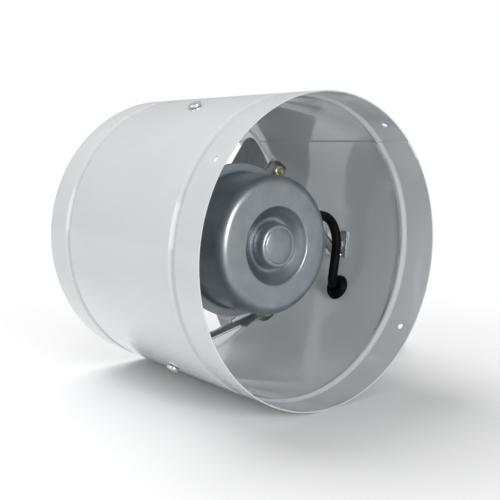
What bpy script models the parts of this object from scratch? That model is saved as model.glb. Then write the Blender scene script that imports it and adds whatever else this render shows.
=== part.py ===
"""Inline duct fan: a rolled steel duct with a can motor on three strap arms and a riveted impeller.

Metres, +Z up. The duct lies on its side along Y, its motor end at -Y, on the plane Z = 0.
Depths are measured along the axis from the rim at the motor end. Angles are round the axis,
0 at +X and 90 at +Z.
"""

import math

import bmesh
import bpy
from mathutils import Matrix, Vector

# --- Duct ---
SHELL_RADIUS = 0.1
SHELL_LENGTH = 0.182
SHELL_SHEET = 0.0008
SHELL_SIDES = 72
GROOVE_INSET = 0.0265
GROOVE_HALF_WIDTH = 0.0042
GROOVE_DEPTH = 0.0018
GROOVE_STEPS = 3
SEAM_FROM = 35.8
SEAM_TO = 44.45
SEAM_STEP = 0.15
SEAM_LEAD_IN = 0.6
RIM_HOLE_RADIUS = 0.002
RIM_HOLE_INSET = 0.0105
RIM_HOLE_COUNT = 4
RIM_HOLE_ANGLE = 53.5

# --- Motor case ---
MOTOR_RADIUS = 0.0474
MOTOR_SHEET = 0.0012
MOTOR_SIDES = 24
MOTOR_HALF_LENGTH = 0.0413
MOTOR_SHOULDER = 0.007
FLANGE_DEPTH = 0.0910
FLANGE_WIDTH = 0.0069
FLANGE_FILLET = 0.0022
DISH_RADIUS = 0.0275
DISH_DROP = 0.0088
DISH_SLOPE_RADIUS = 0.0240
DISH_SLOPE_DROP = 0.0048
DISH_FLOOR_RADIUS = 0.0187
BOSS_RADIUS = 0.0149
BOSS_RISE = 0.0022
BOSS_SHOULDER = 0.0022
BOSS_TOP_RADIUS = 0.0115
EAR_COUNT = 3
EAR_ANGLE = 54.0
EAR_BOLT_OUT = 0.0116
EAR_HALF_WIDTH = 0.0075
EAR_REACH = 0.0058
EAR_FLARE = 0.002
EAR_CHAMFER = 0.003
EAR_ROOT_OVERLAP = 0.0025

# --- Stator and rotor ---
STATOR_LENGTH = 0.022
STATOR_SLOTS = 12
STATOR_YOKE = 0.0075
STATOR_SLOT_SHARE = 0.42
SLOT_EDGE_ANGLE = 0.4
WINDING_SIDES = 18
WINDING_OVERHANG = 0.009
WINDING_BULGE = 0.003
WINDING_TOP_INSET = 0.002
SLOT_LINING = 0.001
AIR_GAP = 0.0005
POLE_SHOE = 0.003
ROTOR_RADIUS = 0.024
ROTOR_SIDES = 20
END_RING_WIDTH = 0.007
END_RING_LENGTH = 0.004
END_RING_INSET = 0.0005

# --- Shaft and bearings ---
SHAFT_RADIUS = 0.004
SHAFT_SIDES = 20
SHAFT_CHAMFER = 0.0006
SHAFT_END_PLAY = 0.001
SHAFT_STICK_OUT = 0.004
SHAFT_HOLE_GAP = 0.0012
BEARING_SIDES = 16
BUSH_RADIUS = 0.0088
BUSH_END_RADIUS = 0.0069
BUSH_HALF_BAND = 0.002
BUSH_LENGTH = 0.011
RETAINER_THICKNESS = 0.0007
RETAINER_SEAT = 0.005
RETAINER_HEEL = 0.0012
RETAINER_PLAY = 0.0006
THRUST_WASHER_RADIUS = 0.0072
THRUST_WASHER_THICKNESS = 0.001

# --- Strap arms ---
ARM_SWEEP = 60.5
ARM_THICKNESS = 0.0015
ARM_WIDTH = 0.0105
GUSSET_START = 0.0095
GUSSET_END = 0.0285
GUSSET_EXTRA = 0.0062
GUSSET_NOSE = 0.0015
GUSSET_SHELF = 0.0025
WEB_TOE = 0.001
TAB_OUTER = 0.006
TAB_INNER = 0.0085
TAB_CHAMFER = 0.002
FOOT_WIDTH = 0.021
FOOT_TOE = 6.7
FOOT_HEEL = 5.0
FOOT_FORWARD = 0.0040
FOOT_HOLE_FORWARD = 0.0048
FOOT_STEPS = 4

# --- Screws and nuts ---
SCREW_RADIUS = 0.002
SCREW_SIDES = 10
SCREW_TIP = 0.0022
SCREW_CHAMFER = 0.0006
SCREW_HEAD_RADIUS = 0.0046
SCREW_HEAD_HEIGHT = 0.0024
SCREW_HEAD_EDGE = 0.0008
SCREW_HEAD_TOP_RADIUS = 0.0029
NUT_RADIUS = 0.00415
NUT_SIDES = 6
NUT_HEIGHT = 0.0032

# --- Impeller ---
BLADE_COUNT = 5
BLADE_LEADING_ANGLE = 54.0
BLADE_CHORD_ANGLE = 48.0
BLADE_SET_BACK = 0.0045
BLADE_AXIAL_DEPTH = 0.012
BLADE_TIP_CLEARANCE = 0.0056
BLADE_ROOT_RADIUS = 0.036
BLADE_CORNER = 0.009
BLADE_THICKNESS = 0.001
BLADE_COLUMNS = (0.0, 0.04, 0.1, 0.25, 0.42, 0.58, 0.75, 0.9, 0.96, 1.0)
BLADE_ROWS = (0.0, 0.12, 0.35, 0.6, 0.85, 1.0)
SPIDER_RADIUS = 0.031
SPIDER_SIDES = 24
SPIDER_THICKNESS = 0.0015
SPIDER_ARM_RADIUS = 0.062
SPIDER_ARM_ANGLE = 18.0
SPIDER_ARM_OVERLAP = 0.004
SPIDER_ARM_LIFT = 0.00048
HUB_RADIUS = 0.011
HUB_SIDES = 16
HUB_STAND_OFF = 0.0063
HUB_LENGTH = 0.018
HUB_COLLAR_RADIUS = 0.0155
HUB_COLLAR_THICKNESS = 0.0035
RIVET_RADII = (0.044, 0.056)
RIVET_SIDES = 8
RIVET_SHANK_RADIUS = 0.0016
RIVET_HEAD_RADIUS = 0.003
RIVET_HEAD_TOP_RADIUS = 0.0018
RIVET_HEAD_HEIGHT = 0.0011
RIVET_TAIL_RADIUS = 0.0027
RIVET_TAIL_END_RADIUS = 0.0024
SET_SCREW_RADIUS = 0.002
SET_SCREW_LENGTH = 0.0062

# --- Lead and grommets ---
CORD_RADIUS = 0.0036
GROMMET_SIDES = 12
GLAND_ANGLE = 20.0
GLAND_FORWARD = 0.0175
GLAND_NECK = 0.0016
GLAND_LIP = 0.0018
GLAND_LIP_HEIGHT = 0.0018
GROMMET_ANGLE = -25.5
GROMMET_FORWARD = 0.0095
GROMMET_NECK = 0.0025
GROMMET_LIP = 0.0035
GROMMET_LIP_HEIGHT = 0.0024
GROMMET_LIP_TOP_SHARE = 0.75
GROMMET_LIP_EDGE_SHARE = 0.4
LEAD_START_DEPTH = 0.001
LEAD_SPACING = 0.008

# Way of the lead from the motor to the wall: share of the space between them, angle, distance
# in front of the motor's flange.
LEAD_ROUTE = (
    (0.147, 20.0, 0.0175),
    (0.340, 19.0, 0.0150),
    (0.542, 16.5, 0.0100),
    (0.687, 11.8, 0.0068),
    (0.749, 6.0, 0.0075),
    (0.757, -1.0, 0.0098),
    (0.757, -8.5, 0.0102),
    (0.768, -15.5, 0.0104),
    (0.792, -20.6, 0.0102),
)
# Its last stretch, through the wall: distance inside the wall and angle.
LEAD_ENTRY = ((0.0082, -24.3), (0.0047, GROMMET_ANGLE), (0.0007, GROMMET_ANGLE))

# --- Mains cord: its run, its coil and its tail ---
CORD_SPACING = 0.012
CORD_STRAIGHT_OUT = 0.012
# Way of the run from the wall to the coil: x, y and height above the floor.
RUN_ROUTE = (
    (0.1155, -0.0095, 0.0425),
    (0.1290, -0.0095, 0.0308),
    (0.1382, -0.0093, 0.0228),
    (0.1522, -0.0068, 0.0116),
    (0.1657, 0.0010, 0.0050),
    (0.1758, 0.0130, CORD_RADIUS),
    (0.1811, 0.0277, CORD_RADIUS),
)
# Where the run comes alongside the coil, and where the tail leaves it: angle seen from above,
# distance out from the coil and height above the floor.
RUN_ARRIVAL = ((-9.0, 0.0006, CORD_RADIUS), (-1.0, 0.0002, CORD_RADIUS))
TAIL_ROUTE = ((5.0, 0.0004, 0.0108), (18.0, 0.0012, 0.0090), (31.0, 0.0040, 0.0080))
TAIL_STRAIGHT = 0.018
TAIL_LEVEL = 0.008
COIL_CENTRE = (0.127, 0.050)
COIL_MID_RADIUS = 0.0396
COIL_TURNS_ACROSS = 3
COIL_HEIGHT = 0.0138
COIL_SIDES = 24
TIE_ANGLE = 120.0
TIE_THICKNESS = 0.0012
TIE_WIDTH = 0.008

# --- Plug ---
PLUG_LENGTH = 0.038
PLUG_WIDTH = 0.026
PLUG_HEIGHT = 0.018
PLUG_CORNER = 0.004
RELIEF_SIDES = 12
RELIEF_LENGTH = 0.024
RELIEF_SINK = 0.002
RELIEF_START_WALL = 0.0008
RELIEF_END_WALL = 0.0026
BLADE_PIN_LENGTH = 0.0175
BLADE_PIN_SPACING = 0.0127
BLADE_PIN_HALF_THICKNESS = 0.00075
BLADE_PIN_HALF_WIDTH = 0.0031
BLADE_PIN_RISE = 0.0018
EARTH_PIN_LENGTH = 0.0205
EARTH_PIN_RADIUS = 0.0024
EARTH_PIN_TIP_RADIUS = 0.0014
EARTH_PIN_TAPER = 0.002
EARTH_PIN_DROP = 0.0052

# --- Clearances ---
GAP = 0.0003
RUNNING_GAP = 0.0001
HOLE_GAP = 0.0003

# --- Drilled holes ---
HOLE_SIDES = 10
LARGE_HOLE_RADIUS = 0.004
LARGE_HOLE_SIDES = 16
SHELL_DRILL_REACH = 0.006
DRILL_REACH = 0.004

# --- Worked out from the sizes above ---
AXIS_HEIGHT = SHELL_RADIUS * math.cos(math.pi / SHELL_SIDES)
BORE_RADIUS = SHELL_RADIUS - SHELL_SHEET
MOTOR_FACE_DEPTH = FLANGE_DEPTH - MOTOR_HALF_LENGTH
BOSS_TOP_DEPTH = MOTOR_FACE_DEPTH - BOSS_RISE
JOINT_DEPTH = FLANGE_DEPTH + MOTOR_SHEET + GAP / 2
MOTOR_BACK_DEPTH = 2 * JOINT_DEPTH - BOSS_TOP_DEPTH
FLANGE_RADIUS = MOTOR_RADIUS + FLANGE_WIDTH
EAR_BOLT_RADIUS = MOTOR_RADIUS + EAR_BOLT_OUT
POCKET_RADIUS = BOSS_RADIUS - MOTOR_SHEET
POCKET_FLOOR_DEPTH = BOSS_TOP_DEPTH + MOTOR_SHEET
STATOR_RADIUS = (MOTOR_RADIUS - MOTOR_SHEET) * math.cos(math.pi / MOTOR_SIDES) - GAP
STATOR_SLOT_RADIUS = STATOR_RADIUS - STATOR_YOKE
STATOR_BORE_RADIUS = ROTOR_RADIUS + AIR_GAP
STATOR_FRONT_DEPTH = JOINT_DEPTH - STATOR_LENGTH / 2
STATOR_REAR_DEPTH = JOINT_DEPTH + STATOR_LENGTH / 2
ARM_TAB_DEPTH = FLANGE_DEPTH + 2 * (MOTOR_SHEET + GAP)
ARM_BACK_DEPTH = ARM_TAB_DEPTH + ARM_THICKNESS
ARM_FRONT_DEPTH = ARM_BACK_DEPTH - ARM_WIDTH
FOOT_FRONT_DEPTH = ARM_FRONT_DEPTH - FOOT_FORWARD
FOOT_HOLE_DEPTH = FOOT_FRONT_DEPTH + FOOT_WIDTH / 2 - FOOT_HOLE_FORWARD
HUB_FRONT_DEPTH = MOTOR_BACK_DEPTH + HUB_STAND_OFF
HUB_REAR_DEPTH = HUB_FRONT_DEPTH + HUB_LENGTH
SHAFT_END_DEPTH = HUB_REAR_DEPTH + SHAFT_STICK_OUT
BLADE_FRONT_DEPTH = HUB_FRONT_DEPTH + BLADE_SET_BACK
BLADE_TIP_RADIUS = BORE_RADIUS - BLADE_TIP_CLEARANCE
SPIDER_DEPTH = BLADE_FRONT_DEPTH + BLADE_AXIAL_DEPTH / 2
COLLAR_FRONT_DEPTH = SPIDER_DEPTH - HUB_COLLAR_THICKNESS
SCREW_HOLE_RADIUS = SCREW_RADIUS + HOLE_GAP
GLAND_DEPTH = FLANGE_DEPTH - GLAND_FORWARD
GLAND_NECK_RADIUS = CORD_RADIUS + GLAND_NECK
GROMMET_DEPTH = FLANGE_DEPTH - GROMMET_FORWARD
GROMMET_NECK_RADIUS = CORD_RADIUS + GROMMET_NECK
COIL_OUTER_RADIUS = COIL_MID_RADIUS + COIL_TURNS_ACROSS * CORD_RADIUS
COIL_INNER_RADIUS = COIL_MID_RADIUS - COIL_TURNS_ACROSS * CORD_RADIUS


def clear_scene():
    """Start from nothing."""
    for item in list(bpy.data.objects):
        bpy.data.objects.remove(item, do_unlink=True)


def make_material(name, colour, roughness, metallic):
    """A plain Principled material."""
    material = bpy.data.materials.new(name)
    material.use_nodes = True
    shader = material.node_tree.nodes["Principled BSDF"]
    shader.inputs["Base Color"].default_value = (*colour, 1.0)
    shader.inputs["Roughness"].default_value = roughness
    shader.inputs["Metallic"].default_value = metallic
    return material


def make_materials():
    """Every finish of the fan, by name."""
    return {
        "white_enamel": make_material("white_enamel", (0.66, 0.69, 0.70), 0.22, 0.0),
        "motor_steel": make_material("motor_steel", (0.30, 0.32, 0.35), 0.42, 0.8),
        "blade_steel": make_material("blade_steel", (0.20, 0.21, 0.22), 0.45, 0.7),
        "zinc_plate": make_material("zinc_plate", (0.55, 0.57, 0.58), 0.32, 0.9),
        "yellow_zinc": make_material("yellow_zinc", (0.50, 0.45, 0.27), 0.32, 0.9),
        "core_steel": make_material("core_steel", (0.26, 0.26, 0.27), 0.5, 0.9),
        "copper": make_material("copper", (0.60, 0.26, 0.11), 0.4, 0.8),
        "cast_aluminium": make_material("cast_aluminium", (0.60, 0.60, 0.60), 0.5, 0.9),
        "bright_steel": make_material("bright_steel", (0.58, 0.58, 0.58), 0.25, 1.0),
        "bronze": make_material("bronze", (0.45, 0.28, 0.12), 0.45, 0.9),
        "black_rubber": make_material("black_rubber", (0.015, 0.015, 0.016), 0.6, 0.0),
        "black_pvc": make_material("black_pvc", (0.02, 0.02, 0.022), 0.45, 0.0),
        "pin_brass": make_material("pin_brass", (0.62, 0.60, 0.52), 0.3, 1.0),
    }


def make_empty(name, height):
    """An empty on the fan's axis that carries one group of pieces."""
    empty = bpy.data.objects.new(name, None)
    empty.location = (0.0, 0.0, height)
    bpy.context.scene.collection.objects.link(empty)
    return empty


def at_depth(depth):
    """Y of a plane at this depth behind the rim at the motor end."""
    return depth - SHELL_LENGTH / 2


def mirrored(depth):
    """The depth as far behind the motor's joint as this one is in front of it."""
    return 2 * JOINT_DEPTH - depth


def on_circle(radius, angle, depth):
    """Point at a radius, an angle in degrees and a depth."""
    turn = math.radians(angle)
    return Vector((radius * math.cos(turn), at_depth(depth), radius * math.sin(turn)))


def outward(angle):
    """Unit vector away from the axis at an angle in degrees."""
    turn = math.radians(angle)
    return Vector((math.cos(turn), 0.0, math.sin(turn)))


def frame_on(origin, normal, across):
    """Matrix at origin whose Z runs along normal and whose X leans towards across."""
    z_axis = Vector(normal).normalized()
    x_axis = Vector(across) - z_axis * Vector(across).dot(z_axis)
    x_axis.normalize()
    y_axis = z_axis.cross(x_axis)
    matrix = Matrix((x_axis, y_axis, z_axis)).transposed().to_4x4()
    matrix.translation = origin
    return matrix


AXIS_FRAME = frame_on((0.0, -SHELL_LENGTH / 2, 0.0), (0.0, 1.0, 0.0), (1.0, 0.0, 0.0))


def finish_mesh(name, mesh_data, smooth_angle):
    """Turn edited geometry into a mesh with its faces outward and round parts smooth."""
    bmesh.ops.remove_doubles(mesh_data, verts=mesh_data.verts, dist=1e-7)
    bmesh.ops.recalc_face_normals(mesh_data, faces=mesh_data.faces)
    mesh = bpy.data.meshes.new(name)
    mesh_data.to_mesh(mesh)
    mesh_data.free()
    mesh.shade_smooth()
    mesh.set_sharp_from_angle(angle=math.radians(smooth_angle))
    return mesh


def turned(name, outline, sides, matrix=AXIS_FRAME):
    """Solid turned round Z from (radius, height) points, in the frame of the matrix."""
    data = bmesh.new()
    start = [data.verts.new((radius, 0.0, height)) for radius, height in outline]
    edges = [data.edges.new(pair) for pair in zip(start, start[1:])]
    if outline[0][0] > 0 or outline[-1][0] > 0:
        edges.append(data.edges.new((start[-1], start[0])))
    bmesh.ops.spin(
        data,
        geom=start + edges,
        cent=(0.0, 0.0, 0.0),
        axis=(0.0, 0.0, 1.0),
        angle=math.tau,
        steps=sides,
        use_merge=True,
    )
    bmesh.ops.transform(data, matrix=matrix, verts=data.verts)
    return finish_mesh(name, data, 35)


def plate(name, outline, thickness, matrix):
    """Flat plate: an outline of (x, y) points raised by thickness along Z."""
    data = bmesh.new()
    face = data.faces.new([data.verts.new((x, y, 0.0)) for x, y in outline])
    raised = bmesh.ops.extrude_face_region(data, geom=[face])["geom"]
    tops = [item for item in raised if isinstance(item, bmesh.types.BMVert)]
    bmesh.ops.translate(data, verts=tops, vec=(0.0, 0.0, thickness))
    bmesh.ops.transform(data, matrix=matrix, verts=data.verts)
    return finish_mesh(name, data, 35)


def sheet_grid(name, front, back, closed):
    """Solid between two like grids of points, rows by columns; closed joins the last column."""
    data = bmesh.new()
    layers = [[[data.verts.new(p) for p in row] for row in grid] for grid in (front, back)]
    rows = len(front)
    columns = len(front[0])
    spans = columns if closed else columns - 1
    for layer in layers:
        for r in range(rows - 1):
            for c in range(spans):
                d = (c + 1) % columns
                data.faces.new((layer[r][c], layer[r][d], layer[r + 1][d], layer[r + 1][c]))
    near, far = layers
    for r in (0, rows - 1):
        for c in range(spans):
            d = (c + 1) % columns
            data.faces.new((near[r][c], near[r][d], far[r][d], far[r][c]))
    if not closed:
        for c in (0, columns - 1):
            for r in range(rows - 1):
                data.faces.new((near[r][c], near[r + 1][c], far[r + 1][c], far[r][c]))
    return finish_mesh(name, data, 35)


def add_piece(name, mesh, material, parent):
    """One named piece, carried by an empty on the axis."""
    piece = bpy.data.objects.new(name, mesh)
    piece.data.materials.append(material)
    piece.parent = parent
    bpy.context.scene.collection.objects.link(piece)
    return piece


def add_tool(name, mesh, parent):
    """A shape that only cuts or joins: it stays out of the model."""
    tool = bpy.data.objects.new(name, mesh)
    tool.parent = parent
    tool.hide_render = True
    tool.display_type = "WIRE"
    bpy.context.scene.collection.objects.link(tool)
    return tool


def combine(piece, tool, operation):
    """Cut the piece with the tool, or join the tool to it."""
    modifier = piece.modifiers.new(operation.title(), "BOOLEAN")
    modifier.operation = operation
    modifier.solver = "EXACT"
    modifier.object = tool


def joined(name, meshes):
    """One mesh that holds several separate shapes."""
    data = bmesh.new()
    for mesh in meshes:
        data.from_mesh(mesh)
    result = bpy.data.meshes.new(name)
    data.to_mesh(result)
    data.free()
    return result


def drill(piece, holes, parent):
    """Cut round holes: each is (radius, half length, centre, direction)."""
    pins = []
    for radius, reach, centre, direction in holes:
        side = Vector((0.0, 1.0, 0.0)) if abs(direction.y) < 0.5 else Vector((1.0, 0.0, 0.0))
        outline = [(0.0, -reach), (radius, -reach), (radius, reach), (0.0, reach)]
        sides = HOLE_SIDES if radius < LARGE_HOLE_RADIUS else LARGE_HOLE_SIDES
        pins.append(turned("pin", outline, sides, frame_on(centre, direction, side)))
    tool = add_tool(piece.name + "_drill", joined("pins", pins), parent)
    combine(piece, tool, "DIFFERENCE")


def sheet_outline(path, thickness):
    """Closed outline of a sheet: a path of (radius, height) points and its copy on the right."""
    copy = []
    for i, (radius, height) in enumerate(path):
        before = Vector(path[max(i - 1, 0)])
        after = Vector(path[min(i + 1, len(path) - 1)])
        here = Vector((radius, height))
        sides = [s.normalized() for s in (here - before, after - here) if s.length > 0]
        normals = [Vector((s.y, -s.x)) for s in sides]
        mid = sum(normals, Vector((0.0, 0.0))).normalized()
        shift = mid * thickness / max(mid.dot(normals[0]), 0.5)
        x = 0.0 if radius == 0 else radius + shift.x
        copy.append((x, height + shift.y))
    return list(path) + copy[::-1]


def arc(centre, radius, start, end, count):
    """Points of an arc round centre, from start to end degrees, both ends included."""
    points = []
    for i in range(count):
        turn = math.radians(start + (end - start) * i / (count - 1))
        points.append((centre[0] + radius * math.cos(turn), centre[1] + radius * math.sin(turn)))
    return points


# --- Duct shell ---


def groove_depths(middle):
    """(depth, inset) pairs across one rolled groove."""
    pairs = []
    for i in range(GROOVE_STEPS + 1):
        t = 2 * i / GROOVE_STEPS - 1
        inset = GROOVE_DEPTH * (1 + math.cos(math.pi * t)) / 2
        pairs.append((middle + t * GROOVE_HALF_WIDTH, inset))
    return pairs


def shell_angles():
    """Angles of the shell's columns, with the two edges of the lap seam among them."""
    pitch = 360 / SHELL_SIDES
    angles = [pitch * (i + 0.5) for i in range(SHELL_SIDES)]
    angles += [SEAM_FROM - SEAM_LEAD_IN, SEAM_FROM, SEAM_TO, SEAM_TO + SEAM_STEP]
    return sorted(angles)


def ear_angles():
    """Angle of each motor ear."""
    return [EAR_ANGLE + 360 / EAR_COUNT * i for i in range(EAR_COUNT)]


def foot_angles():
    """Angle of each arm's foot screw."""
    return [ear - ARM_SWEEP for ear in ear_angles()]


def build_shell(material, parent):
    """Rolled sheet duct with a lap seam, two grooves and its holes."""
    rows = [(0.0, 0.0)] + groove_depths(GROOVE_INSET)
    rows += groove_depths(SHELL_LENGTH - GROOVE_INSET) + [(SHELL_LENGTH, 0.0)]
    outer = []
    inner = []
    for depth, inset in rows:
        outer.append([on_circle(SHELL_RADIUS - inset, a, depth) for a in shell_angles()])
        inner_row = []
        for a in shell_angles():
            lap = SHELL_SHEET if SEAM_FROM <= a <= SEAM_TO else 0.0
            inner_row.append(on_circle(BORE_RADIUS - inset - lap, a, depth))
        inner.append(inner_row)
    shell = add_piece("duct_shell", sheet_grid("duct_shell", outer, inner, True), material, parent)
    reach = SHELL_DRILL_REACH
    holes = []
    for i in range(RIM_HOLE_COUNT):
        angle = RIM_HOLE_ANGLE + 360 / RIM_HOLE_COUNT * i
        centre = on_circle(SHELL_RADIUS, angle, RIM_HOLE_INSET)
        holes.append((RIM_HOLE_RADIUS, reach, centre, outward(angle)))
    for angle in foot_angles():
        centre = on_circle(SHELL_RADIUS, angle, FOOT_HOLE_DEPTH)
        holes.append((SCREW_HOLE_RADIUS, reach, centre, outward(angle)))
    centre = on_circle(SHELL_RADIUS, GROMMET_ANGLE, GROMMET_DEPTH)
    holes.append((GROMMET_NECK_RADIUS + GAP, reach, centre, outward(GROMMET_ANGLE)))
    drill(shell, holes, parent)


# --- Motor ---


def can_path(deep_end):
    """Outside of a motor half as (radius, depth) points, from its flange to its boss."""
    fillet = FLANGE_FILLET
    floor = MOTOR_FACE_DEPTH + DISH_DROP
    path = [(FLANGE_RADIUS, FLANGE_DEPTH)]
    path += arc((MOTOR_RADIUS + fillet, FLANGE_DEPTH - fillet), fillet, 90, 180, 2)
    shoulder = (MOTOR_RADIUS - MOTOR_SHOULDER, MOTOR_FACE_DEPTH + MOTOR_SHOULDER)
    path += arc(shoulder, MOTOR_SHOULDER, 0, -90, 3)
    path.append((DISH_RADIUS, MOTOR_FACE_DEPTH))
    path.append((DISH_SLOPE_RADIUS, MOTOR_FACE_DEPTH + DISH_SLOPE_DROP))
    path += [(DISH_FLOOR_RADIUS, floor), (BOSS_RADIUS, floor)]
    path += [(BOSS_RADIUS, BOSS_TOP_DEPTH + BOSS_SHOULDER), (BOSS_TOP_RADIUS, BOSS_TOP_DEPTH)]
    path.append((deep_end, BOSS_TOP_DEPTH))
    return path


def ear_mesh(angle, depth):
    """Ear of the flange round one bolt."""
    inner = FLANGE_RADIUS - EAR_ROOT_OVERLAP
    outer = EAR_BOLT_RADIUS + EAR_REACH
    half = EAR_HALF_WIDTH
    cut = EAR_CHAMFER
    outline = [(inner, -half - EAR_FLARE), (outer - cut, -half), (outer, -half + cut)]
    outline += [(outer, half - cut), (outer - cut, half), (inner, half + EAR_FLARE)]
    frame = frame_on((0.0, at_depth(depth), 0.0), (0.0, 1.0, 0.0), outward(angle))
    return plate("ear", outline, MOTOR_SHEET, frame)


def build_can(name, path_end, behind, material, parent):
    """One pressed half of the motor, in front of the joint or mirrored behind it."""
    outline = sheet_outline(can_path(path_end), MOTOR_SHEET)
    if behind:
        outline = [(radius, mirrored(depth)) for radius, depth in outline]
    can = add_piece(name, turned(name, outline, MOTOR_SIDES), material, parent)
    flange = mirrored(FLANGE_DEPTH) - MOTOR_SHEET if behind else FLANGE_DEPTH
    ears = []
    holes = []
    for angle in ear_angles():
        ears.append(ear_mesh(angle, flange))
        centre = on_circle(EAR_BOLT_RADIUS, angle, flange)
        holes.append((SCREW_HOLE_RADIUS, DRILL_REACH, centre, Vector((0.0, 1.0, 0.0))))
    combine(can, add_tool(name + "_ears", joined("ears", ears), parent), "UNION")
    drill(can, holes, parent)
    return can


# --- Stator ---


def build_stator_core(materials, parent):
    """Round stack of steel sheets with slots open to the rotor."""
    slot_turn = 360 / STATOR_SLOTS
    slot_half = slot_turn * STATOR_SLOT_SHARE / 2
    columns = []
    for i in range(STATOR_SLOTS):
        middle = slot_turn * i
        columns.append((middle - slot_half - SLOT_EDGE_ANGLE, STATOR_BORE_RADIUS))
        columns.append((middle - slot_half, STATOR_SLOT_RADIUS))
        columns.append((middle + slot_half, STATOR_SLOT_RADIUS))
        columns.append((middle + slot_half + SLOT_EDGE_ANGLE, STATOR_BORE_RADIUS))
    ends = (STATOR_FRONT_DEPTH, STATOR_REAR_DEPTH)
    inner = [[on_circle(radius, angle, depth) for angle, radius in columns] for depth in ends]
    outer = [[on_circle(STATOR_RADIUS, angle, depth) for angle, _ in columns] for depth in ends]
    core = sheet_grid("stator_core", outer, inner, True)
    add_piece("stator_core", core, materials["core_steel"], parent)


def build_winding(materials, parent):
    """The end turns in front of the core and behind it, joined by the bars in its slots."""
    inside = STATOR_BORE_RADIUS + POLE_SHOE
    outside = STATOR_SLOT_RADIUS - SLOT_LINING
    high = WINDING_OVERHANG
    profile = [(inside, 0.0), (outside, 0.0), (outside + WINDING_BULGE, high * 0.4)]
    profile += [(outside, high), (inside + WINDING_TOP_INSET, high), (inside, high * 0.6)]
    front = [(r, STATOR_FRONT_DEPTH - GAP - h) for r, h in profile]
    rear = [(r, STATOR_REAR_DEPTH + GAP + h) for r, h in profile]
    mesh = turned("stator_winding", front, WINDING_SIDES)
    winding = add_piece("stator_winding", mesh, materials["copper"], parent)
    rear_turns = add_tool("rear_turns", turned("rear_turns", rear, WINDING_SIDES), parent)
    combine(winding, rear_turns, "UNION")
    slot_turn = 360 / STATOR_SLOTS
    half = math.radians(slot_turn * STATOR_SLOT_SHARE / 2) * inside - 2 * GAP
    low = inside + SLOT_LINING
    top = outside - SLOT_LINING
    outline = [(low, -half), (top, -half), (top, half), (low, half)]
    sink = GAP + SLOT_LINING
    start = (0.0, at_depth(STATOR_FRONT_DEPTH - sink), 0.0)
    bars = []
    for i in range(STATOR_SLOTS):
        frame = frame_on(start, (0.0, 1.0, 0.0), outward(slot_turn * i))
        bars.append(plate("bar", outline, STATOR_LENGTH + 2 * sink, frame))
    combine(winding, add_tool("slot_bars", joined("slot_bars", bars), parent), "UNION")


# --- Bearings ---


def add_both_ends(name, outline, sides, material, parent):
    """The same turned piece at the front of the motor and, mirrored, at its rear."""
    behind = [(radius, mirrored(depth)) for radius, depth in outline]
    for end, points in (("front", outline), ("rear", behind)):
        add_piece(f"{name}_{end}", turned(name, points, sides), material, parent)


def build_bearings(materials, parent):
    """A bronze bush in each boss, with the spring retainer that holds it."""
    bore = SHAFT_RADIUS + RUNNING_GAP
    floor = POCKET_FLOOR_DEPTH + GAP
    middle = floor + BUSH_LENGTH / 2
    end = floor + BUSH_LENGTH
    bush = [(bore, floor), (BUSH_END_RADIUS, floor), (BUSH_RADIUS, middle - BUSH_HALF_BAND)]
    bush += [(BUSH_RADIUS, middle + BUSH_HALF_BAND), (BUSH_END_RADIUS, end), (bore, end)]
    add_both_ends("bearing_bush", bush, BEARING_SIDES, materials["bronze"], parent)

    rim = POCKET_RADIUS - GAP
    eye = SHAFT_RADIUS + SHAFT_HOLE_GAP
    seat = floor + RETAINER_SEAT
    lip = end + GAP
    dish = [(rim, seat), (rim, seat + RETAINER_THICKNESS), (eye, lip + RETAINER_THICKNESS)]
    dish += [(eye, lip), (BUSH_END_RADIUS + RETAINER_PLAY, lip)]
    dish.append((BUSH_RADIUS + RETAINER_PLAY, seat + RETAINER_HEEL))
    add_both_ends("bearing_retainer", dish, BEARING_SIDES, materials["bright_steel"], parent)


# --- Strap arms ---


def arm_line(ear):
    """Start of the strap at its ear, its direction and its length to the wall."""
    start = on_circle(EAR_BOLT_RADIUS, ear, JOINT_DEPTH)
    start.y = 0.0
    end = outward(ear - ARM_SWEEP - FOOT_HEEL) * (BORE_RADIUS - GAP - ARM_THICKNESS / 2)
    run = end - start
    return start, run.normalized(), run.length


def strap_mesh(name, ear):
    """The strap on edge: x runs along it, y runs forwards from its back edge."""
    start, along, length = arm_line(ear)
    side = Vector((0.0, 1.0, 0.0)).cross(along)
    end = length - ARM_THICKNESS / 4
    web = [(GUSSET_START - WEB_TOE, 0.0), (GUSSET_START + WEB_TOE, ARM_WIDTH)]
    web += [(GUSSET_END - GUSSET_NOSE, ARM_WIDTH + GUSSET_EXTRA), (GUSSET_END, ARM_WIDTH)]
    web += [(end, ARM_WIDTH), (end, 0.0)]
    back = Vector((0.0, at_depth(ARM_BACK_DEPTH), 0.0))
    frame = frame_on(start + back - side * ARM_THICKNESS / 2, side, along)
    if frame.col[1].y > 0:
        web = [(x, -y) for x, y in web]
    return plate(name, web, ARM_THICKNESS, frame)


def tab_mesh(ear):
    """The tab flat behind the motor's ear, which reaches along the strap as a gusset."""
    start, along, _ = arm_line(ear)
    start.y = at_depth(ARM_TAB_DEPTH)
    frame = frame_on(start, (0.0, 1.0, 0.0), along)
    axis_side = 1.0 if Vector(frame.col[1][:3]).dot(-start) > 0 else -1.0
    near = EAR_HALF_WIDTH
    edge = ARM_THICKNESS / 2
    tab = [(-near, -TAB_OUTER), (GUSSET_START, -TAB_OUTER), (GUSSET_START + TAB_CHAMFER, -edge)]
    tab += [(GUSSET_END, -edge), (GUSSET_END, GUSSET_SHELF), (near, TAB_INNER), (-near, TAB_INNER)]
    return plate("tab", [(x, y * axis_side) for x, y in tab], ARM_THICKNESS, frame)


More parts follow.
